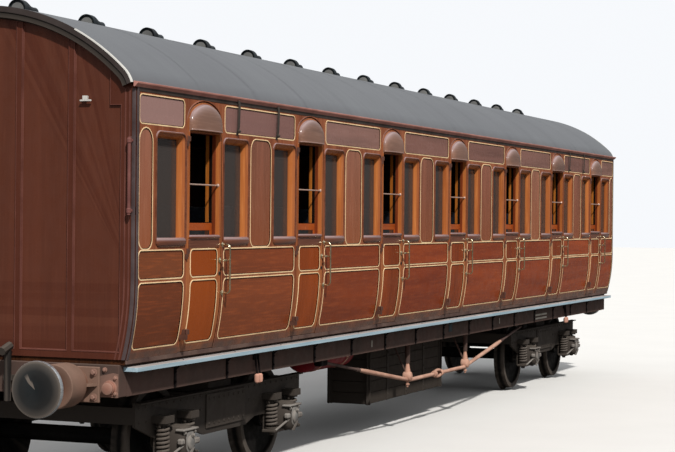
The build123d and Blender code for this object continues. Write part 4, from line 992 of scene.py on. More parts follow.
def droplight():
    """The lowered window of a door: its top rail, the stiles and the dark glass below the rail."""
    shape, pane = Shape(), Shape()
    face = -HALF_WIDTH + SASH_DEPTH
    half = LIGHT_HALF - 0.007
    low, top = LIGHT_BOTTOM - 0.03, LIGHT_BOTTOM + 0.12
    brick(shape, -half, half, face - 0.004, face + 0.021, top - 0.062, top, 0.003)
    for sign in (-1, 1):
        x0, x1 = sorted((sign * half, sign * (half - 0.042)))
        brick(shape, x0, x1, face - 0.004, face + 0.002, low, top - 0.06, 0.002)
    brick(pane, -half + 0.04, half - 0.04, face - 0.0015, face + 0.001, low, top - 0.06, 0.0005)
    return shape, pane


def door_fittings():
    """Guard bar, turning handle, lock and hinge sleeves of one door."""
    shape = Shape()
    reach = LIGHT_HALF - 0.0015
    feet = [(sign * reach, -HALF_WIDTH + 0.008, up(2.615)) for sign in (-1, 1)]
    tube(shape, feet, 0.0065, 10, 0)
    socket = [(0, 0.016), (0.003, 0.015), (0.006, 0.009), (0.02, 0.0085), (0.021, 0)]
    for foot, way in zip(feet, (1, -1)):
        lathe(shape, foot, (way, 0, 0), socket, 14)
    x, z = 0.294, up(1.99)
    rose = [(0, 0.024), (0.004, 0.023), (0.008, 0.015), (0.014, 0.0095), (0.05, 0.0085)]
    lathe(shape, (x, -HALF_WIDTH - RELIEF, z), OUT, rose, 18, 1)
    grip = [(-0.05, -0.004), (-0.03, -0.001), (0, 0), (0.03, 0.001), (0.05, -0.004)]
    path = [(x + along, -HALF_WIDTH - RELIEF - 0.05, z + rise) for along, rise in grip]
    tube(shape, path, [0.005, 0.009, 0.0105, 0.009, 0.005], 12, 1)
    lock = [(0, 0.018), (0.003, 0.017), (0.005, 0.012), (0.0025, 0.005), (0.0025, 0)]
    lathe(shape, near_side(x - 0.004, up(1.88), RELIEF), OUT, lock, 14, 2)
    y = -HALF_WIDTH - 0.014
    for height in HINGE_HEIGHTS:
        top = height + 0.0403
        tube(shape, [(HINGE_X, y, height + 0.001), (HINGE_X, y, top)], 0.0098, 12, 3)
        lathe(shape, (HINGE_X, y, top), UP, [(0, 0.0098), (0.004, 0.007), (0.006, 0)], 12, 3)
        face = -side_at(height) + 0.008
        brick(shape, HINGE_X, HINGE_X + 0.0312, y - 0.0096, face, height + 0.0008, height + 0.0406, 0.001, 3)
    return shape


def dress_doors():
    """Dresses every door with the same five pieces."""
    sash, pane = droplight()
    leaf = [DOOR_TEAK, LINING, QUIRK_AND_SHADE, DOOR_FIELD, MAHOGANY, REVEAL, JAMB_RED, JAMB_SHADE, CASING]
    pieces = (
        ("dress", door_dress(), leaf, "teak_door"),
        ("hood", hood_shell(), [HOOD_WOOD, JAMB_SHADE], "teak_door"),
        ("fittings", door_fittings(), [COPPER, BRASS, BLACK_IRON, HINGE_GREY], "brass"),
        ("droplight", sash, [SASH_WOOD], "teak_door"),
        ("droplight_pane", pane, [SASH_GLASS], "glass"),
    )
    for side in ("near", "far"):
        for number, centre in enumerate(DOOR_CENTRES, start=1):
            body = f"door_{side}_{number}"
            for name, shape, finishes, slot in pieces:
                make(f"{body}_{name}", shape.moved(centre).on_side(side), finishes, body)


# Ends of the body
CROWN_STEPS = 24
END_PANELS = ((-1.243, -0.835), (-0.78, -0.366), (-0.31, 0.31), (0.366, 0.78), (0.835, 1.243))
END_RELIEF = 0.016
SHOULDER_CUT, SHOULDER_HIGH = 0.096, up(3.2)


def roof_line(inset):
    """Points of the roof's arc from one eave over the ridge to the other."""
    lean = math.atan2(SHOULDER_Z - CROWN_Z, SHOULDER_Y)
    radius = SHOULDER_RADIUS - inset
    start = math.atan2(CANTRAIL_TOP - SHOULDER_Z, SHOULDER_RADIUS)
    right = []
    for k in range(9):
        angle = start + (lean - start) * k / 8
        right.append((SHOULDER_Y + radius * math.cos(angle), SHOULDER_Z + radius * math.sin(angle)))
    crown = CROWN_RADIUS - inset
    for k in range(1, CROWN_STEPS + 1):
        angle = lean + (math.pi / 2 - lean) * k / CROWN_STEPS
        right.append((crown * math.cos(angle), CROWN_Z + crown * math.sin(angle)))
    return right + mirrored(right[:-1])


def end_panel(low_y, high_y):
    """The outline of one upright panel of the end wall, whose top follows the roof."""
    bottom, outer = SIDE_BOTTOM + 0.058, END_PANELS[-1][1]
    line = [(y, z) for y, z in roof_line(0.075) if low_y < y < high_y]
    right, left = [(high_y, bottom)], [(low_y, bottom)]
    if high_y == outer:
        right += [(outer, SHOULDER_HIGH), (outer - SHOULDER_CUT, SHOULDER_HIGH)]
        line = [(y, z) for y, z in line if y < outer - SHOULDER_CUT]
    if low_y == -outer:
        left += [(-outer, SHOULDER_HIGH), (-outer + SHOULDER_CUT, SHOULDER_HIGH)]
        line = [(y, z) for y, z in line if y > -outer + SHOULDER_CUT]
    corner_right = [(right[-1][0], line[0][1])]
    corner_left = [(left[-1][0], line[-1][1])]
    return right + corner_right + line + corner_left + left[::-1]


def end_dress():
    """Framing, edge mouldings and corner posts of the photographed end, then of the other."""
    shape = Shape()
    edge = [(side_at(height), height) for height in TURN_HEIGHTS]
    edge.append((HALF_WIDTH, CANTRAIL_TOP - 0.05))
    arc = [point for point in roof_line(0.034) if point[1] > CANTRAIL_TOP - 0.04]
    outline = edge + arc + mirrored(edge)
    panels = [end_panel(*panel) for panel in END_PANELS]
    sheet(shape, outline, panels, near_end, END_RELIEF)
    ring(shape, outline, [(0, 0.0), (0, END_RELIEF)], near_end, 0)
    bead = [(-0.007, END_RELIEF - 0.001), (-0.006, END_RELIEF + 0.003), (-0.001, END_RELIEF + 0.003)]
    bead += [(0, END_RELIEF), (0.003, 0.003), (0.006, 0.0005)]
    for panel in panels:
        ring(shape, panel, bead, near_end, 1)
    posts = ((0.016, 0.034, 0.026, 2), (0.052, 0.016, 0.022, 1), (0.088, 0.016, 0.024, 1))
    swell = ((0, 0), (0.15, 0.8), (0.5, 1.0), (0.85, 0.8), (1, 0))
    for sign in (-1, 1):
        for place, wide, proud, mark in posts:
            base = END_RELIEF - 0.002
            reed(shape, edge, near_end, sign, place, wide, swell, base, proud - END_RELIEF, mark)
    finishes = [END_BROWN, END_BEAD, POST_GREY]
    make("end_a_dress", shape, finishes, "coach")
    make("end_b_dress", shape.turned(), finishes, "coach")


def corner_mouldings():
    """The moulded corner posts, seen from the side as a dark band before the first panel."""
    shape = Shape()
    edge = [(BODY_HALF, height) for height in TURN_HEIGHTS + [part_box("gutters")[0].z]]
    swell = ((0, 0), (0.2, 0.85), (0.5, 1), (0.8, 0.85), (1, 0))
    base = RELIEF - 0.002
    for end in (-1, 1):
        for place, wide, proud in ((0.006, 0.02, 0.013), (0.024, 0.014, 0.011)):
            reed(shape, edge, near_side, end, place, wide, swell, base, proud - base)
    make("corner_mouldings", shape.both(), [POST_GREY], "coach")


def roof_ends():
    """The dark boards that close the roof's ends, a black sheet under them that is painted shadow of the
    overhang, and a white edge on their lower ends that is a painted highlight.
    """
    shape = Shape()
    line = roof_line(0.0)
    face = ROOF_END + 0.012
    rim = [(0.001, ROOF_END - 0.02), (0.001, face), (0.046, face), (0.048, ROOF_END + 0.002)]
    # gap is a black sheet under the boards, painted shadow of the overhang. The white strip along the
    # boards' outer edge is a painted highlight.
    gap = [(0.047, ROOF_END + 0.004), (0.09, ROOF_END + 0.004), (0.1, BODY_HALF + END_RELIEF + 0.002)]
    highlight_strip = [(-0.001, ROOF_END - 0.008), (-0.001, face + 0.002), (0.009, face + 0.003), (0.01, face)]
    for profile, mark in ((rim, 0), (gap, 1), (highlight_strip, 2)):
        rows = []
        for i, (y, z) in enumerate(line):
            before, after = line[max(i - 1, 0)], line[min(i + 1, len(line) - 1)]
            along = Vector((after[0] - before[0], after[1] - before[1])).normalized()
            inward = Vector((-along.y, along.x))
            rows.append([(-x, y + inward.x * s, z + inward.y * s) for s, x in profile])
        # The painted highlight is drawn only on the lower ends, towards the eaves.
        if mark == 2:
            count = sum(1 for y, _ in line if y > 0.86)
            shape.grid(rows[:count], mark)
            shape.grid(rows[-count:], mark)
        else:
            shape.grid(rows, mark)
    make("roof_ends", shape.both(), [RIM_BROWN, BLACK_IRON, RIM_WHITE], "coach")


def gutters():
    """The moulded cornice along each eave, in place of the plain rail."""
    low, high = [corner.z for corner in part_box("gutters")]
    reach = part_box("gutters")[1].x
    out = 0.038
    section = [(0, low), (0.012, low), (0.016, low + 0.006), (0.024, low + 0.012), (0.029, low + 0.02)]
    section += [(0.036, low + 0.022), (out, low + 0.027), (out, high - 0.003), (out - 0.004, high)]
    section.append((0, high + 0.004))
    rows = [[(x, -HALF_WIDTH - o, z) for o, z in section] for x in (-reach, -reach / 3, reach / 3, reach)]
    shape = Shape().grid(rows)
    for x in (-reach, reach):
        shape.add([(x, -HALF_WIDTH - o, z) for o, z in section], [tuple(range(len(section)))])
    piece = make("gutter_mouldings", shape.both(), [CORNICE], "coach")
    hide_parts("gutters")
    # A slightly proud strip just under the gutter, coloured as the gutter's painted shadow.
    gutter_shadow = Shape()
    section = [(RELIEF - 0.002, low - 0.034), (RELIEF + 0.004, low - 0.031), (RELIEF + 0.004, low - 0.004)]
    section.append((0.012, low + 0.001))
    gutter_shadow.grid([[(x, -HALF_WIDTH - o, z) for o, z in section] for x in (-BODY_HALF, BODY_HALF)])
    make("gutter_shadow_strips", gutter_shadow.both(), [GUTTER_SHADOW], "coach")


def roof_vent_shells():
    """Round torpedo ventilators: a flared mouth with a baffle plate, a tapering body and a foot."""
    shape = Shape()
    shell = [(-0.118, 0.0), (-0.118, 0.078), (-0.135, 0.079), (-0.135, 0.085), (-0.06, 0.083), (-0.02, 0.07)]
    shell += [(0.04, 0.05), (0.1, 0.042), (0.135, 0.044), (0.135, 0.0)]
    plate = [(-0.12, 0.058), (-0.13, 0.057), (-0.132, 0.03), (-0.132, 0)]
    for centre in DOOR_CENTRES:
        for sign in (-1, 1):
            x = centre + sign * COMPARTMENT / 4
            lathe(shape, (x, 0, RIDGE + 0.03), ALONG, shell, 28, 0)
            lathe(shape, (x, 0, RIDGE + 0.03), ALONG, plate, 24, 1)
            brick(shape, x - 0.045, x + 0.045, -0.07, 0.07, RIDGE - 0.04, RIDGE + 0.006, 0.004, 0)
    piece = make("roof_vent_shells", shape, [VENT_BLUE, VENT_PLATE], "coach")
    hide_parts("roof_vents")


def roof_seams():
    """The lapped joints of the roof's canvas, over each compartment's ends and middle."""
    shape = Shape()
    line = [point for point in roof_line(-0.0012) if point[1] > CANTRAIL_TOP + 0.004]
    spaces = 2 * COMPARTMENTS
    for k in range(1, spaces):
        x = -BODY_HALF + 2 * BODY_HALF * k / spaces
        shape.grid([[(x + side, y, z) for y, z in line] for side in (-0.02, 0.02)])
    make("roof_seams", shape, [CANVAS], "coach")


# Handles and end irons
HANDLE_LOW, HANDLE_HIGH = up(1.715), up(2.12)
HANDLE_X, HANDLE_OUT, HANDLE_TURN = DOOR_HALF + 0.03, HALF_WIDTH + 0.078, 0.032
RAIL_LOW, RAIL_HIGH = SIDE_BOTTOM + 1.11, SIDE_BOTTOM + 1.705
RAIL_OUT, RAIL_IN, RAIL_FOOT = 0.06, 0.03, 0.03
LAMP_Y, LAMP_HIGH = 0.94, up(3.28)


def grab_handle_tubes():
    """Curved grab handles beside the doors, on round feet."""
    shape = Shape()
    low, high = HANDLE_LOW, HANDLE_HIGH
    out, turn = HANDLE_OUT, HANDLE_TURN
    bends = [math.pi / 2 * k / 5 for k in range(6)]
    foot = [(0, 0.024), (0.005, 0.023), (0.009, 0.015), (0.016, 0.0095)]
    for centre in DOOR_CENTRES:
        x = centre + HANDLE_X
        path = [(x, -side_at(low) - RELIEF, low)]
        path += [(x, turn - out - turn * math.sin(a), low + turn - turn * math.cos(a)) for a in bends]
        path += [(x, turn - out - turn * math.cos(a), high - turn + turn * math.sin(a)) for a in bends]
        path.append((x, -side_at(high) - RELIEF, high))
        tube(shape, path, 0.0095, 12)
        for z in (low, high):
            lathe(shape, (x, -side_at(z) - RELIEF + 0.001, z), OUT, foot, 18)
    piece = make("grab_handle_tubes", shape.both(), [BRASS], "coach")
    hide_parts("grab_handles")


def end_irons():
    """Upright handrails and lamp irons on both ends."""
    rails, irons = Shape(), Shape()
    x = BODY_HALF + RAIL_OUT
    knob = [(0, 0.013), (0.008, 0.019), (0.036, 0.019), (0.044, 0.013)]
    for y in (-HALF_WIDTH + RAIL_IN, HALF_WIDTH - RAIL_IN):
        tube(rails, [(x, y, RAIL_LOW), (x, y, RAIL_HIGH)], 0.013, 14)
        for z in (RAIL_LOW + RAIL_FOOT, RAIL_HIGH - RAIL_FOOT):
            tube(rails, [(BODY_HALF, y, z), (x, y, z)], [0.017, 0.012], 12)
            lathe(rails, (x, y, z - 0.022), UP, knob, 14)
            brick(rails, BODY_HALF, BODY_HALF + 0.018, y - 0.03, y + 0.03, z - 0.035, z + 0.035, 0.004, 1)
    z = LAMP_HIGH
    for y in (-LAMP_Y, LAMP_Y):
        brick(irons, BODY_HALF, BODY_HALF + 0.03, y - 0.03, y + 0.01, z - 0.035, z - 0.005, 0.003)
        brick(irons, BODY_HALF + 0.02, BODY_HALF + 0.038, y - 0.05, y + 0.05, z - 0.05, z - 0.036, 0.004)
    piece = make("end_rail_tubes", rails.both(), [RAIL_RED, DEEP_OXIDE], "coach")
    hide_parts("end_rails")
    make("lamp_irons", irons.both(), [RIM_WHITE], "coach")


def board_clips():
    """Upright iron clips over two bays, which hold a long board in use."""
    shape = Shape()
    strip = [(-0.03, 3.345), (-0.036, 3.31), (-0.03, 3.12), (-0.022, 3.09), (-0.01, 3.05)]
    corners = ((-0.016, 0), (0.016, 0), (0.016, 0.006), (-0.016, 0.006))
    for middle in (-2.5 * COMPARTMENT, 2.5 * COMPARTMENT):
        for off in (-0.51, 0.32):
            x = middle + off
            rows = []
            for side, back in corners:
                rows.append([(x + side, -HALF_WIDTH + out + back, up(rise)) for out, rise in strip])
            shape.grid(rows, wrap_rows=True)
            bolt(shape, (x, -HALF_WIDTH - 0.026, up(3.085)), OUT, 0.011, 0.02)
    make("board_clips", shape.both(), [BLACK_IRON], "coach")


# Underframe
SOLEBAR_FACE = 1.25
SOLEBAR_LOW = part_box("solebars")[0].z
BOARD_LOW, BOARD_HIGH = up(1.154), up(1.192)
TRUSS_Y = -1.145
ROD_LOW = up(0.545)
POST_PLACE = 1.05
ROD_END = 3.6
BOSS_HIGH = ROD_LOW + 0.045
BOGIE_PLACE = 5.39
BOGIES = (("bogie_a", -BOGIE_PLACE), ("bogie_b", BOGIE_PLACE))
STRAP_START, STRAP_PITCH, STRAP_COUNT = -6.96, 0.9775, 15
STRAP_HALF = 0.018
JOINT_START, JOINT_PITCH = 0.35, 0.745


def foot_boards():
    """The long footboards, and the worn strip with its joints along the foot of each side."""
    shape = Shape()
    reach = BODY_HALF - 0.045
    brick(shape, -reach, reach, -HALF_WIDTH, -SOLEBAR_FACE, BOARD_LOW, BOARD_HIGH, 0.004)
    piece = make("foot_board_planks", shape.both(), [BOARD], "coach")
    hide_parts("footboards")
    strip = Shape()
    foot = -side_at(SIDE_BOTTOM) - RELIEF
    brick(strip, -BODY_HALF, BODY_HALF, foot, foot + 0.016, up(1.214), SIDE_BOTTOM + 0.001, 0.003)
    low, high = up(1.218), SIDE_BOTTOM - 0.003
    for k in range(3 * COMPARTMENTS):
        x = -BODY_HALF + JOINT_START + k * JOINT_PITCH
        brick(strip, x - 0.0015, x + 0.0015, foot - 0.0006, foot + 0.002, low, high, 0.0004, 1)
    make("foot_strips", strip.both(), [FOOT_BROWN, QUIRK_AND_SHADE], "coach")


def board_straps():
    """Thin iron straps that carry the footboards from the solebars, each with its bolts."""
    shape = Shape()
    face = -SOLEBAR_FACE
    for k in range(STRAP_COUNT):
        x = STRAP_START + STRAP_PITCH * k
        x0, x1 = x - STRAP_HALF, x + STRAP_HALF
        brick(shape, x0, x1, face - 0.009, face, SOLEBAR_LOW + 0.004, BOARD_LOW, 0.002)
        brick(shape, x0, x1, -HALF_WIDTH + 0.02, face, BOARD_LOW - 0.009, BOARD_LOW - 0.0005, 0.002)
        tube(shape, [(x, face - 0.004, BOARD_LOW - 0.05), (x, face - 0.05, BOARD_LOW - 0.006)], 0.006, 6)
        for z in (SOLEBAR_LOW + 0.05, SOLEBAR_LOW + 0.13):
            bolt(shape, (x, face - 0.008, z), OUT, 0.009, 0.01)
        bolt(shape, (x, -HALF_WIDTH + 0.045, BOARD_HIGH - 0.001), UP, 0.008, 0.004)
    piece = make("board_straps", shape.both(), [STRAP_BLACK], "coach")
    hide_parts("footboard_brackets")


def truss_post(shape, sign):
    """One post with its boss and pin, and the rod from it to its anchor on the solebar."""
    y, x, end = TRUSS_Y, sign * POST_PLACE, sign * ROD_END
    foot = SOLEBAR_LOW - 0.03
    span = Vector((end - x, 0, foot - ROD_LOW))
    middle = Vector((x, y, ROD_LOW)) + span * 0.6
    bend = (x + sign * 0.03, y, ROD_LOW + 0.012)
    tube(shape, [(end, y, foot), middle], 0.016, 14, 1)
    tube(shape, [middle - span * 0.012, middle + span * 0.02], 0.021, 14, 1)
    tube(shape, [middle, middle - span * 0.09, bend], [0.017, 0.026, 0.022], 16, 0)
    tube(shape, [bend, (x, y, ROD_LOW), (sign * 0.13, y, ROD_LOW)], 0.0225, 16, 0)
    collar = [(0, 0.024), (0.004, 0.034), (0.03, 0.034), (0.036, 0.026)]
    lathe(shape, (sign * 0.16, y, ROD_LOW), (-sign, 0, 0), collar, 18, 0)
    post = [(x, y, BOSS_HIGH + 0.15), (x, y, foot), (x, y, SOLEBAR_LOW - 0.012)]
    tube(shape, post, [0.027, 0.028, 0.036], 14, 3)
    cone = [(0, 0.036), (0.05, 0.034), (0.15, 0.017), (0.162, 0.026), (0.165, 0)]
    lathe(shape, (x, y, BOSS_HIGH), UP, cone, 18, 0)
    drum = [(-0.046, 0), (-0.046, 0.043), (-0.042, 0.05), (-0.03, 0.056)]
    drum += [(-along, radius) for along, radius in reversed(drum)]
    lathe(shape, (x, y, BOSS_HIGH), (0, 1, 0), drum, 24, 0)
    lathe(shape, (x, y - 0.044, BOSS_HIGH), OUT, [(0, 0.03), (0.006, 0.028), (0.008, 0)], 16, 0)
    tube(shape, [(x, y, BOSS_HIGH), (x, y, ROD_LOW - 0.075)], [0.02, 0.012], 10, 0)
    nut = [(0, 0.016), (0.002, 0.024), (0.022, 0.024), (0.026, 0.014)]
    lathe(shape, (x, y, ROD_LOW - 0.03), DOWN, nut, 6, 0)
    brick(shape, x - 0.07, x + 0.07, y - 0.045, y + 0.045, SOLEBAR_LOW - 0.02, SOLEBAR_LOW, 0.003, 3)
    for off in (-0.05, 0.05):
        bolt(shape, (x + off, y - 0.01, SOLEBAR_LOW - 0.02), DOWN, 0.011, 0.012, 3)
    brick(shape, end - 0.09, end + 0.09, y - 0.04, y + 0.04, SOLEBAR_LOW - 0.07, SOLEBAR_LOW, 0.012, 2)
    tube(shape, [(x, y, BOSS_HIGH), (x, y + 0.225, up(1.049))], 0.011, 10, 3)


def truss_gear():
    """The truss rods with their posts and anchors, and the turnbuckle's eye in the middle."""
    shape = Shape()
    for sign in (-1, 1):
        truss_post(shape, sign)
    for side in (-1, 1):
        bow = []
        for share in [k / 8 for k in range(9)]:
            swell = 0.017 + 0.021 * math.sin(math.pi * share) ** 0.5
            bow.append((-0.12 + 0.24 * share, TRUSS_Y, ROD_LOW + side * swell))
        tube(shape, bow, 0.017, 12, 0)
    nut = [(0, 0.03), (0.006, 0.04), (0.034, 0.038), (0.042, 0.024)]
    for end in (-1, 1):
        lathe(shape, (end * 0.128, TRUSS_Y, ROD_LOW), (-end, 0, 0), nut, 16, 0)
    finishes = [ROD_PINK, ROD_DARK, STRAP_BLACK, SOLE_BROWN]
    piece = make("truss_gear", shape.both(), finishes, "coach")
    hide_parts("truss_rods")


def link_shoes():
    """Pairs of slender rods that lean out to a two-lobed shoe over each bogie."""
    shape = Shape()
    face, foot = -SOLEBAR_FACE, -SOLEBAR_FACE - 0.034
    lobe = [(0, 0.012), (0.012, 0.024), (0.05, 0.027), (0.075, 0.022), (0.086, 0.006), (0.088, 0)]
    for _, place in BOGIES:
        for x in (place - 0.031, place + 0.031):
            tube(shape, [(x, face - 0.006, BOARD_LOW), (x, foot, SOLEBAR_LOW - 0.01)], 0.008, 10, 0)
            lathe(shape, (x, foot, SOLEBAR_LOW - 0.001), DOWN, lobe, 16, 1)
        low, high = SOLEBAR_LOW - 0.07, SOLEBAR_LOW - 0.02
        brick(shape, place - 0.03, place + 0.03, foot - 0.012, foot + 0.034, low, high, 0.006, 1)
        low, high = BOARD_LOW - 0.07, BOARD_LOW - 0.001
        brick(shape, place - 0.06, place + 0.06, face - 0.012, face, low, high, 0.003, 0)
    piece = make("link_shoes", shape.both(), [STRAP_BLACK, SHOE_PINK], "coach")
    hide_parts("hanger_links")


def tank_shell():
    """The brake reservoir with dished ends, in two strap hangers."""
    shape = Shape()
    low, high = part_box("reservoir")
    radius, y = (high.y - low.y) / 2, (low.y + high.y) / 2
    z = low.z + radius
    profile = [(0, 0), (0.002, 0.06), (0.012, 0.12), (0.028, 0.165), (0.048, 0.185), (0.062, radius)]
    profile += [(high.x - low.x - s, r) for s, r in reversed(profile)]
    lathe(shape, (low.x, y, z), ALONG, profile, 40, 0)

    def band(x, wide, tall, mark):
        """A flat band round the shell."""
        face = [(0, radius), (0, radius + tall), (wide, radius + tall), (wide, radius)]
        lathe(shape, (x - wide / 2, y, z), ALONG, face, 40, mark)

    for off in (-0.325, 0.325):
        x = (low.x + high.x) / 2 + off
        band(x, 0.044, 0.006, 1)
        for side in (-1, 1):
            path = [(x, y + side * (radius + 0.002), z), (x, y + side * (radius - 0.04), high.z)]
            tube(shape, path, 0.013, 8, 1)
    for x in (low.x + 0.066, high.x - 0.066):
        band(x, 0.008, 0.003, 0)
    piece = make("tank_shell", shape, [CRIMSON, SHOE_PINK], "coach")
    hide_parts("reservoir")


def battery_boards():
    """The boarded box under the floor, with its corner angles, lid and straps."""
    shape = Shape()
    low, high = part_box("battery_box")
    x0, x1, y0, y1 = low.x + 0.012, high.x - 0.012, low.y + 0.012, high.y
    z0, z1 = low.z - 0.06, high.z
    rows = 6
    tall = (z1 - z0) / rows
    for k in range(rows):
        brick(shape, x0, x1, y0, y1, z0 + k * tall, z0 + (k + 1) * tall - 0.004, 0.004, 0)
    for x in (x0, x1):
        for y in (y0, y1):
            for along, across in ((0.006, 0.03), (0.035, 0.006)):
                brick(shape, x - along, x + along, y - across, y + across, z0 - 0.004, z1, 0.001, 1)
    brick(shape, x0 - 0.01, x1 + 0.01, y0 - 0.01, y1, z1 - 0.06, z1 - 0.002, 0.004, 1)
    for share in (0.25, 0.5, 0.75):
        x = x0 + (x1 - x0) * share
        brick(shape, x - 0.025, x + 0.025, y0 - 0.008, y0, z0, z1 - 0.06, 0.002, 1)
        for rise in (0.06, 0.3, 0.54):
            bolt(shape, (x, y0 - 0.007, z0 + rise), OUT, 0.01, 0.01, 1)
    piece = make("battery_boards", shape, [BOX_BLACK, BOX_EDGE], "coach")
    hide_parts("battery_box")


def blank_plates():
    """Small blank plates on the photographed solebar."""
    shape = Shape()
    face = -SOLEBAR_FACE
    for x, z in ((-2.463, 1.045), (2.15, 1.06)):
        brick(shape, x - 0.012, x + 0.012, face - 0.003, face, up(z - 0.035), up(z + 0.035), 0.001, 0)
    brick(shape, 0.08, 0.21, face - 0.004, face, up(1.03), up(1.13), 0.002, 1)
    for z in (1.04, 0.992):
        brick(shape, 3.86, 4.44, face - 0.003, face, up(z), up(z + 0.024), 0.001, 0)
    make("blank_plates", shape, [PLATE_PALE, PLATE_BLUE], "coach")


# Ends of the frame
BEAM_FACE = BODY_HALF + 0.025
BUFFER_Y, BUFFER_HIGH = 0.87, up(1.054)


def headstock_beams():
    """The end beams: dark timber with a salmon plate at each end, its bolts and the tie rods' nuts."""
    shape = Shape()
    low, high, face = SOLEBAR_LOW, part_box("headstocks")[1].z, BEAM_FACE
    brick(shape, face - 0.13, face - 0.002, -SOLEBAR_FACE, SOLEBAR_FACE, low, high, 0.006, 0)
    plate = [(1.247, low), (1.247, high - 0.07), (1.2, high - 0.062), (1.0, high - 0.11), (0.6, high - 0.11)]
    plate.append((0.56, low))
    nut = [(0, 0.062), (0.006, 0.062), (0.008, 0.05), (0.026, 0.05), (0.028, 0.04), (0.034, 0.04)]
    nut += [(0.036, 0.046), (0.046, 0.046), (0.05, 0.036), (0.051, 0)]
    bolts = ((1.13, high - 0.04), (1.225, low + 0.03), (1.225, high - 0.1), (0.62, low + 0.05))
    for sign in (-1, 1):
        back, front = [[(face + out, sign * y, z) for y, z in plate] for out in (-0.002, 0.004)]
        shape.between(back, front, 1)
        lathe(shape, (face + 0.004, sign * (SOLEBAR_FACE - 0.075), up(1.03)), ALONG, nut, 24, 2)
        for y, z in bolts:
            bolt(shape, (face, sign * y, z), ALONG, 0.014, 0.02, 2)
    piece = make("headstock_beams", shape.both(), [SOLE_BROWN, HEAD_PINK, NUT_PINK], "coach")
    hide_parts("headstocks")


def buffer_castings():
    """Buffer castings: wide base plates with bolts, ribs, and a drum with its collar."""
    shape = Shape()
    face, z = BEAM_FACE + 0.004, BUFFER_HIGH
    drum = [(0.02, 0.13), (0.07, 0.124), (0.09, 0.13), (0.112, 0.168), (0.13, 0.172), (0.325, 0.172)]
    drum += [(0.33, 0.166), (0.33, 0.11), (0.326, 0.098), (0.326, 0.0)]
    for y in (-BUFFER_Y, BUFFER_Y):
        centre = Vector((face, y, z))
        brick(shape, face, face + 0.024, y - 0.225, y + 0.225, z - 0.138, z + 0.138, 0.006, 0)
        lathe(shape, centre, ALONG, drum, 40, 0)
        for turn in range(4):
            angle = math.pi / 2 * turn
            ray = Vector((0, math.cos(angle), math.sin(angle)))
            side = Vector((0, -math.sin(angle), math.cos(angle))) * 0.009
            reach = 0.21 if turn % 2 == 0 else 0.135
            outline = [(0.02, 0.11), (0.02, reach), (0.03, reach), (0.112, 0.165), (0.112, 0.11)]
            rib = [centre + Vector((a, 0, 0)) + ray * b for a, b in outline]
            shape.between([point + side for point in rib], [point - side for point in rib])
        for a in (-0.18, 0.18):
            for b in (-0.095, 0.095):
                bolt(shape, (face + 0.023, y + a, z + b), ALONG, 0.02, 0.03, 1)
    piece = make("buffer_castings", shape.both(), [OXIDE, NUT_PINK], "coach")
    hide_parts("buffer_guides")


def buffer_faces():
    """Buffer rams and their dished steel heads, worn bright at the rim."""
    shape = Shape()
    ram = [(0.328, 0), (0.328, 0.09), (0.5, 0.09), (0.512, 0.1), (0.531, 0.208)]
    rim = [ram[-1], (0.535, 0.214), (0.56, 0.215), (0.569, 0.211)]
    dish = [rim[-1], (0.575, 0.19), (0.58, 0.14), (0.584, 0.08), (0.585, 0.0)]
    for y in (-BUFFER_Y, BUFFER_Y):
        for profile, sides, mark in ((ram, 40, 0), (rim, 48, 1), (dish, 48, 0)):
            lathe(shape, (BEAM_FACE, y, BUFFER_HIGH), ALONG, profile, sides, mark)
    piece = make("buffer_faces", shape.both(), [BUFFER_IRON, RIM_STEEL], "coach")
    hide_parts("buffer_heads")


# Bogies, each made round its own middle and then moved to its place
WHEELBASE_HALF = 1.105
AXLE_HIGH = up(0.47)
PLATE_FACE = -0.955
PLATE_TOP = up(0.83)
SPRING_Y = -1.025
SPRING_OFF = 0.23
AXLES = (-WHEELBASE_HALF, WHEELBASE_HALF)
WHEEL_Y = 0.6815
BOX_FRONT, BOX_BACK = -1.165, -0.925
COIL_LOW, COIL_HIGH = up(0.36), up(0.64)
COIL_TURNS, COIL_STEPS, COIL_RADIUS = 6.5, 14, 0.047
RIVETS = 27


def bogie_rivets():
    """Flanges and rivet rows on the bogies' side plates."""
    shape = Shape()
    reach, face, top = 1.68, PLATE_FACE, PLATE_TOP
    brick(shape, -reach, reach, face - 0.05, face, top - 0.014, top - 0.001, 0.003)
    dome = [(0, 0.014), (0.005, 0.012), (0.009, 0.006), (0.01, 0)]
    for k in range(RIVETS):
        x = -reach + 0.05 + (2 * reach - 0.1) * k / (RIVETS - 1)
        for drop in (0.045, 0.165):
            lathe(shape, (x, face, top - drop), OUT, dome, 8)
    brick(shape, -0.4, 0.4, face - 0.014, face, top - 0.34, top - 0.04, 0.004)
    dome = [(0, 0.014), (0.006, 0.01), (0.009, 0)]
    for k in range(8):
        for drop in (0.08, 0.3):
            lathe(shape, (-0.35 + 0.1 * k, face - 0.014, top - drop), OUT, dome, 8)
    return shape.both()


def coil_springs():
    """Helical springs between seats beside each axlebox."""
    shape = Shape()
    low, high, radius = COIL_LOW, COIL_HIGH, COIL_RADIUS
    total = round(COIL_TURNS * COIL_STEPS)
    seat = [(0, 0), (0, 0.062), (0.016, 0.062), (0.016, 0)]
    for x in [axle + off for axle in AXLES for off in (-SPRING_OFF, SPRING_OFF)]:
        path = []
        for k in range(total + 1):
            angle = 2 * math.pi * k / COIL_STEPS
            rise = low + 0.026 + (high - low - 0.052) * k / total
            path.append((x + radius * math.cos(angle), SPRING_Y + radius * math.sin(angle), rise))
        tube(shape, path, 0.0125, 8, 0)
        for z in (low, high - 0.016):
            lathe(shape, (x, SPRING_Y, z), UP, seat, 18, 1)
        tube(shape, [(x, SPRING_Y, low), (x, SPRING_Y, high)], 0.018, 10, 1)
    return shape.both()


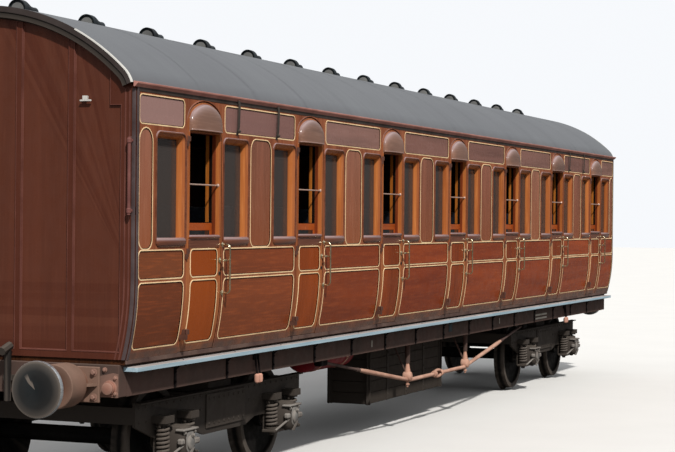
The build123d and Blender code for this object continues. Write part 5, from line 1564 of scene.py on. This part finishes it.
def axlebox_castings():
    """Axleboxes with peaked caps, hinged lids, side lugs and the wings under the springs."""
    shape = Shape()
    z, front = AXLE_HIGH, BOX_FRONT
    low, top = z - 0.14, z + 0.14
    right = [(0.07, 0.0), (0.118, 0.05), (0.125, 0.2), (0.09, 0.262)]
    left = [(-a, b) for a, b in reversed(right)]
    outline = left[-1:] + right + [(0.0, 0.28)] + left[:-1]
    sizes = ((BOX_BACK, 1.0), (front + 0.06, 1.0), (front + 0.03, 0.93), (front + 0.012, 0.8), (front, 0.62))
    lid = [(0, 0.062), (0.01, 0.062), (0.018, 0.052), (0.022, 0.03), (0.022, 0)]
    for x in AXLES:
        rows = []
        for y, size in sizes:
            rows.append([(x + a * size, y, z + (b - 0.14) * size) for a, b in outline])
        shape.capped(rows, 1, 0)
        lathe(shape, (x, front, z - 0.01), OUT, lid, 14, 0)
        brick(shape, x - 0.14, x + 0.14, front - 0.012, front + 0.075, top - 0.05, top - 0.03, 0.008, 0)
        brick(shape, x + 0.06, x + 0.155, front - 0.018, front + 0.03, z - 0.03, z + 0.022, 0.012, 0)
        brick(shape, x - 0.155, x - 0.09, front, front + 0.05, z - 0.02, z + 0.03, 0.012, 0)
        spout = [(x + 0.02, front + 0.004, z - 0.05), (x + 0.01, front + 0.03, low)]
        tube(shape, spout, [0.034, 0.024], 10, 0)
        rod = [(x - 0.05, front + 0.008, z - 0.01), (x - 0.27, SPRING_Y - 0.058, low + 0.02)]
        tube(shape, rod, 0.011, 8, 0)
        bolt(shape, (x, front - 0.022, z + 0.052), OUT, 0.014, 0.02, 0)
        for off in (-0.09, 0.09):
            bolt(shape, (x + off, front + 0.01, z + 0.075), OUT, 0.012, 0.018, 0)
        brick(shape, x - 0.31, x + 0.31, SPRING_Y - 0.066, SPRING_Y + 0.066, low, low + 0.028, 0.006, 1)
        for off in (-SPRING_OFF, SPRING_OFF):
            bolt(shape, (x + off, SPRING_Y, low), DOWN, 0.026, 0.03, 1)
    return shape.both()


def dress_bogies():
    """Dresses both bogies, and gives every wheel its worn tyre edge and hub."""
    rivets, coils, boxes = bogie_rivets(), coil_springs(), axlebox_castings()
    edge = [(0.1268, 0.405), (0.1278, 0.408), (0.1278, 0.46), (0.1262, 0.463)]
    hub = [(0.149, 0.0), (0.1495, 0.086), (0.146, 0.09)]
    for body, place in BOGIES:
        make(f"{body}_rivets", rivets.moved(place), [BLACK_IRON], body)
        springs = make(f"{body}_coils", coils.moved(place), [SPRING_IRON, BLACK_IRON], body)
        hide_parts(f"{body}_springs")
        castings = make(f"{body}_castings", boxes.moved(place), [PALE_IRON, BLACK_IRON], body)
        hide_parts(f"{body}_axleboxes")
        for number, off in enumerate(AXLES, start=1):
            wheels = Shape()
            for side in (-1, 1):
                centre = (place + off, side * WHEEL_Y, AXLE_HIGH)
                lathe(wheels, centre, (0, side, 0), edge, 64, 0)
                lathe(wheels, centre, (0, side, 0), hub, 32, 0)
            name = f"wheelset_{body[-1]}{number}"
            make(f"{name}_tyre_edges", wheels, [TYRE_EDGE], name)


# Seats
BACK_THICK, SEAT_DEEP, SEAT_HALF = 0.13, 0.61, 1.19
SEAT_LEVEL, CUSHION_TOP, BACK_TOP = SIDE_BOTTOM + 0.31, SIDE_BOTTOM + 0.45, SIDE_BOTTOM + 1.23
PARTITIONS = [(k - COMPARTMENTS / 2) * COMPARTMENT for k in range(1, COMPARTMENTS)]
PAD_VOXEL = 0.026
PAD_FRAMES = 20
PAD_INSET, PAD_ROUND, PAD_CAP = 0.014, 0.03, 0.026
PAD_PRESSURE = 4
SEWN_LINES = (-0.595, 0.0, 0.595)
SEWN_HALF = 0.014


def pad_start(name, size):
    """A rounded block, a little smaller than the pad's space, remeshed for the cloth."""
    mesh = bpy.data.meshes.new(name)
    work = bmesh.new()
    matrix = Matrix.Diagonal((*[wide - 2 * PAD_INSET for wide in size], 1))
    bmesh.ops.create_cube(work, size=1, matrix=matrix)
    bmesh.ops.bevel(work, geom=work.edges[:], offset=PAD_ROUND, segments=3, profile=0.5, affect="EDGES")
    work.to_mesh(mesh)
    work.free()
    pad = bpy.data.objects.new(name, mesh)
    bpy.context.scene.collection.objects.link(pad)
    remesh = pad.modifiers.new("even_faces", "REMESH")
    remesh.mode = "VOXEL"
    remesh.voxel_size = PAD_VOXEL
    bpy.context.view_layer.update()
    graph = bpy.context.evaluated_depsgraph_get()
    even = bpy.data.meshes.new_from_object(pad.evaluated_get(graph))
    pad.modifiers.clear()
    pad.data = even
    return pad


def inflate(pad, size, pinned):
    """Swells a pad as cloth under pressure between its sewn lines, and keeps it in its space."""
    rest = [vert.co.copy() for vert in pad.data.vertices]
    group = pad.vertex_groups.new(name="sewn")
    group.add([k for k, co in enumerate(rest) if pinned(co)], 1.0, "REPLACE")
    cloth = pad.modifiers.new("cloth", "CLOTH")
    cloth.settings.quality = 4
    cloth.settings.use_pressure = True
    cloth.settings.uniform_pressure_force = PAD_PRESSURE
    cloth.settings.vertex_group_mass = "sewn"
    cloth.settings.effector_weights.gravity = 0
    scene = bpy.context.scene
    for frame in range(1, PAD_FRAMES + 1):
        scene.frame_set(frame)
    graph = bpy.context.evaluated_depsgraph_get()
    swollen = [vert.co.copy() for vert in pad.evaluated_get(graph).data.vertices]
    pad.modifiers.clear()
    for vert, start, end in zip(pad.data.vertices, rest, swollen):
        step = end - start
        if step.length > PAD_CAP:
            step *= PAD_CAP / step.length
        place = start + step
        vert.co = [min(max(c, -wide / 2), wide / 2) for c, wide in zip(place, size)]
    scene.frame_set(1)


def seat_places():
    """Each place where a seat's back starts, with the way that the seat faces."""
    places = [(-BODY_HALF + WALL, 1)]
    for x in PARTITIONS:
        places += [(x - 0.02, -1), (x + 0.02, 1)]
    return places + [(BODY_HALF - WALL, -1)]


def seats():
    """Cushions and backs in plush with sewn lines, each simulated once and set on every seat."""
    wide = 2 * SEAT_HALF
    cushion = (SEAT_DEEP - BACK_THICK, wide, CUSHION_TOP - SEAT_LEVEL)
    back = (BACK_THICK, wide, BACK_TOP - SEAT_LEVEL)
    kinds = (
        ("seat_cushion", cushion, (BACK_THICK + SEAT_DEEP) / 2, "seat_cushions"),
        ("seat_back", back, BACK_THICK / 2, "seat_backs"),
    )
    for name, size, off, node in kinds:
        pad = pad_start(name, size)
        flat = size[2] / 2 - 0.02

        def pinned(co):
            """True on the pad's underside and along its sewn lines."""
            return co.z < -flat or min(abs(co.y - line) for line in SEWN_LINES) < SEWN_HALF

        inflate(pad, size, pinned)
        mesh = pad.data
        mesh.polygons.foreach_set("use_smooth", [True] * len(mesh.polygons))
        mesh.materials.clear()
        mesh.materials.append(PLUSH)
        bpy.data.objects.remove(pad)
        for k, (x, way) in enumerate(seat_places()):
            piece = bpy.data.objects.new(f"{name}_{k + 1}", mesh)
            piece.location = (x + way * off, 0, SEAT_LEVEL + size[2] / 2)
            piece.rotation_euler = (0, 0, 0 if way > 0 else math.pi)
            bpy.context.scene.collection.objects.link(piece)
            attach(piece, "coach")
            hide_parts(node)


# Scene: floor, light and camera
FLOOR_HALF = 150
KEY_POWER, KEY_SPREAD = 3.8, math.radians(3)
KEY_WAY = Vector((0.77, 0.64, -0.97))
WORLD_POWER = 0.6
LENS, YAW, PITCH, ROLL = 94.93, 1.187557, -0.0032812, 0.0098088
EYE = (-19.880, -7.872, 2.363)


def stage():
    """A plain pale floor."""
    half = FLOOR_HALF
    corners = [(-half, -half, 0), (half, -half, 0), (half, half, 0), (-half, half, 0)]
    mesh = bpy.data.meshes.new("floor_plane")
    mesh.from_pydata(corners, [], [(0, 1, 2, 3)])
    finish = Finish("pale_floor")
    cloud = finish.span(finish.noise(0.8), 0.3, 0.7)
    tone = finish.mix(cloud, srgb(219, 218, 215), srgb(222, 221, 218))
    seen = finish.node("ShaderNodeLightPath").outputs["Is Camera Ray"]
    finish.colour(finish.mix(seen, srgb(104, 101, 98), tone))
    finish.fixed(Roughness=0.9, Specular_IOR_Level=0.1)
    mesh.materials.append(finish.material)
    floor = bpy.data.objects.new("floor_plane", mesh)
    bpy.context.scene.collection.objects.link(floor)


def light():
    """A soft key from the upper left, and a pale world that is brighter to the eye than as light."""
    lamp = bpy.data.lights.new("key", "SUN")
    lamp.energy = KEY_POWER
    lamp.angle = KEY_SPREAD
    lamp.color = (1.0, 0.97, 0.93)
    key = bpy.data.objects.new("key", lamp)
    bpy.context.scene.collection.objects.link(key)
    key.rotation_mode = "QUATERNION"
    key.rotation_quaternion = KEY_WAY.to_track_quat("-Z", "Y")
    world = bpy.data.worlds.new("pale_world")
    bpy.context.scene.world = world
    world.use_nodes = True
    nodes, links = world.node_tree.nodes, world.node_tree.links
    back = nodes["Background"]
    path = nodes.new("ShaderNodeLightPath")
    coords = nodes.new("ShaderNodeTexCoord")
    split = nodes.new("ShaderNodeSeparateXYZ")
    links.new(coords.outputs["Generated"], split.inputs["Vector"])
    sky = nodes.new("ShaderNodeMapRange")
    for name, value in (("From Min", 0.0), ("From Max", 0.7), ("To Min", 0.08), ("To Max", 0.85)):
        sky.inputs[name].default_value = value
    links.new(split.outputs["Z"], sky.inputs["Value"])
    lit = nodes.new("ShaderNodeMix")
    links.new(path.outputs["Is Glossy Ray"], lit.inputs[0])
    lit.inputs[2].default_value = WORLD_POWER
    links.new(sky.outputs["Result"], lit.inputs[3])
    shown = nodes.new("ShaderNodeMix")
    links.new(path.outputs["Is Camera Ray"], shown.inputs[0])
    links.new(lit.outputs[0], shown.inputs[2])
    shown.inputs[3].default_value = 1.0
    back.inputs["Color"].default_value = (0.93, 0.95, 0.98, 1.0)
    links.new(shown.outputs[0], back.inputs["Strength"])


def camera():
    """The photograph's view, solved from its perspective for a frame of 675 by 452."""
    data = bpy.data.cameras.new("photo_view")
    data.lens = LENS
    data.sensor_width = 36.0
    data.clip_end = 400
    eye = bpy.data.objects.new("photo_view", data)
    bpy.context.scene.collection.objects.link(eye)
    level = Vector((math.sin(YAW), math.cos(YAW), 0))
    right = Vector((math.cos(YAW), -math.sin(YAW), 0))
    above = Vector((0, 0, 1))
    ahead = level * math.cos(PITCH) + above * math.sin(PITCH)
    above = above * math.cos(PITCH) - level * math.sin(PITCH)
    rolled = right * math.cos(ROLL) + above * math.sin(ROLL)
    above = above * math.cos(ROLL) - right * math.sin(ROLL)
    axes = Matrix((rolled, above, -ahead)).transposed().to_4x4()
    eye.matrix_world = Matrix.Translation(EYE) @ axes
    bpy.context.scene.camera = eye


def main():
    bpy.context.scene.view_settings.view_transform = "Standard"
    camera()
    stage()
    light()
    dress_nodes()
    side_dress()
    dress_doors()
    end_dress()
    corner_mouldings()
    roof_ends()
    gutters()
    roof_vent_shells()
    roof_seams()
    grab_handle_tubes()
    end_irons()
    board_clips()
    foot_boards()
    board_straps()
    truss_gear()
    link_shoes()
    tank_shell()
    battery_boards()
    blank_plates()
    headstock_beams()
    buffer_castings()
    buffer_faces()
    dress_bogies()
    seats()
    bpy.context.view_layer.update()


main()
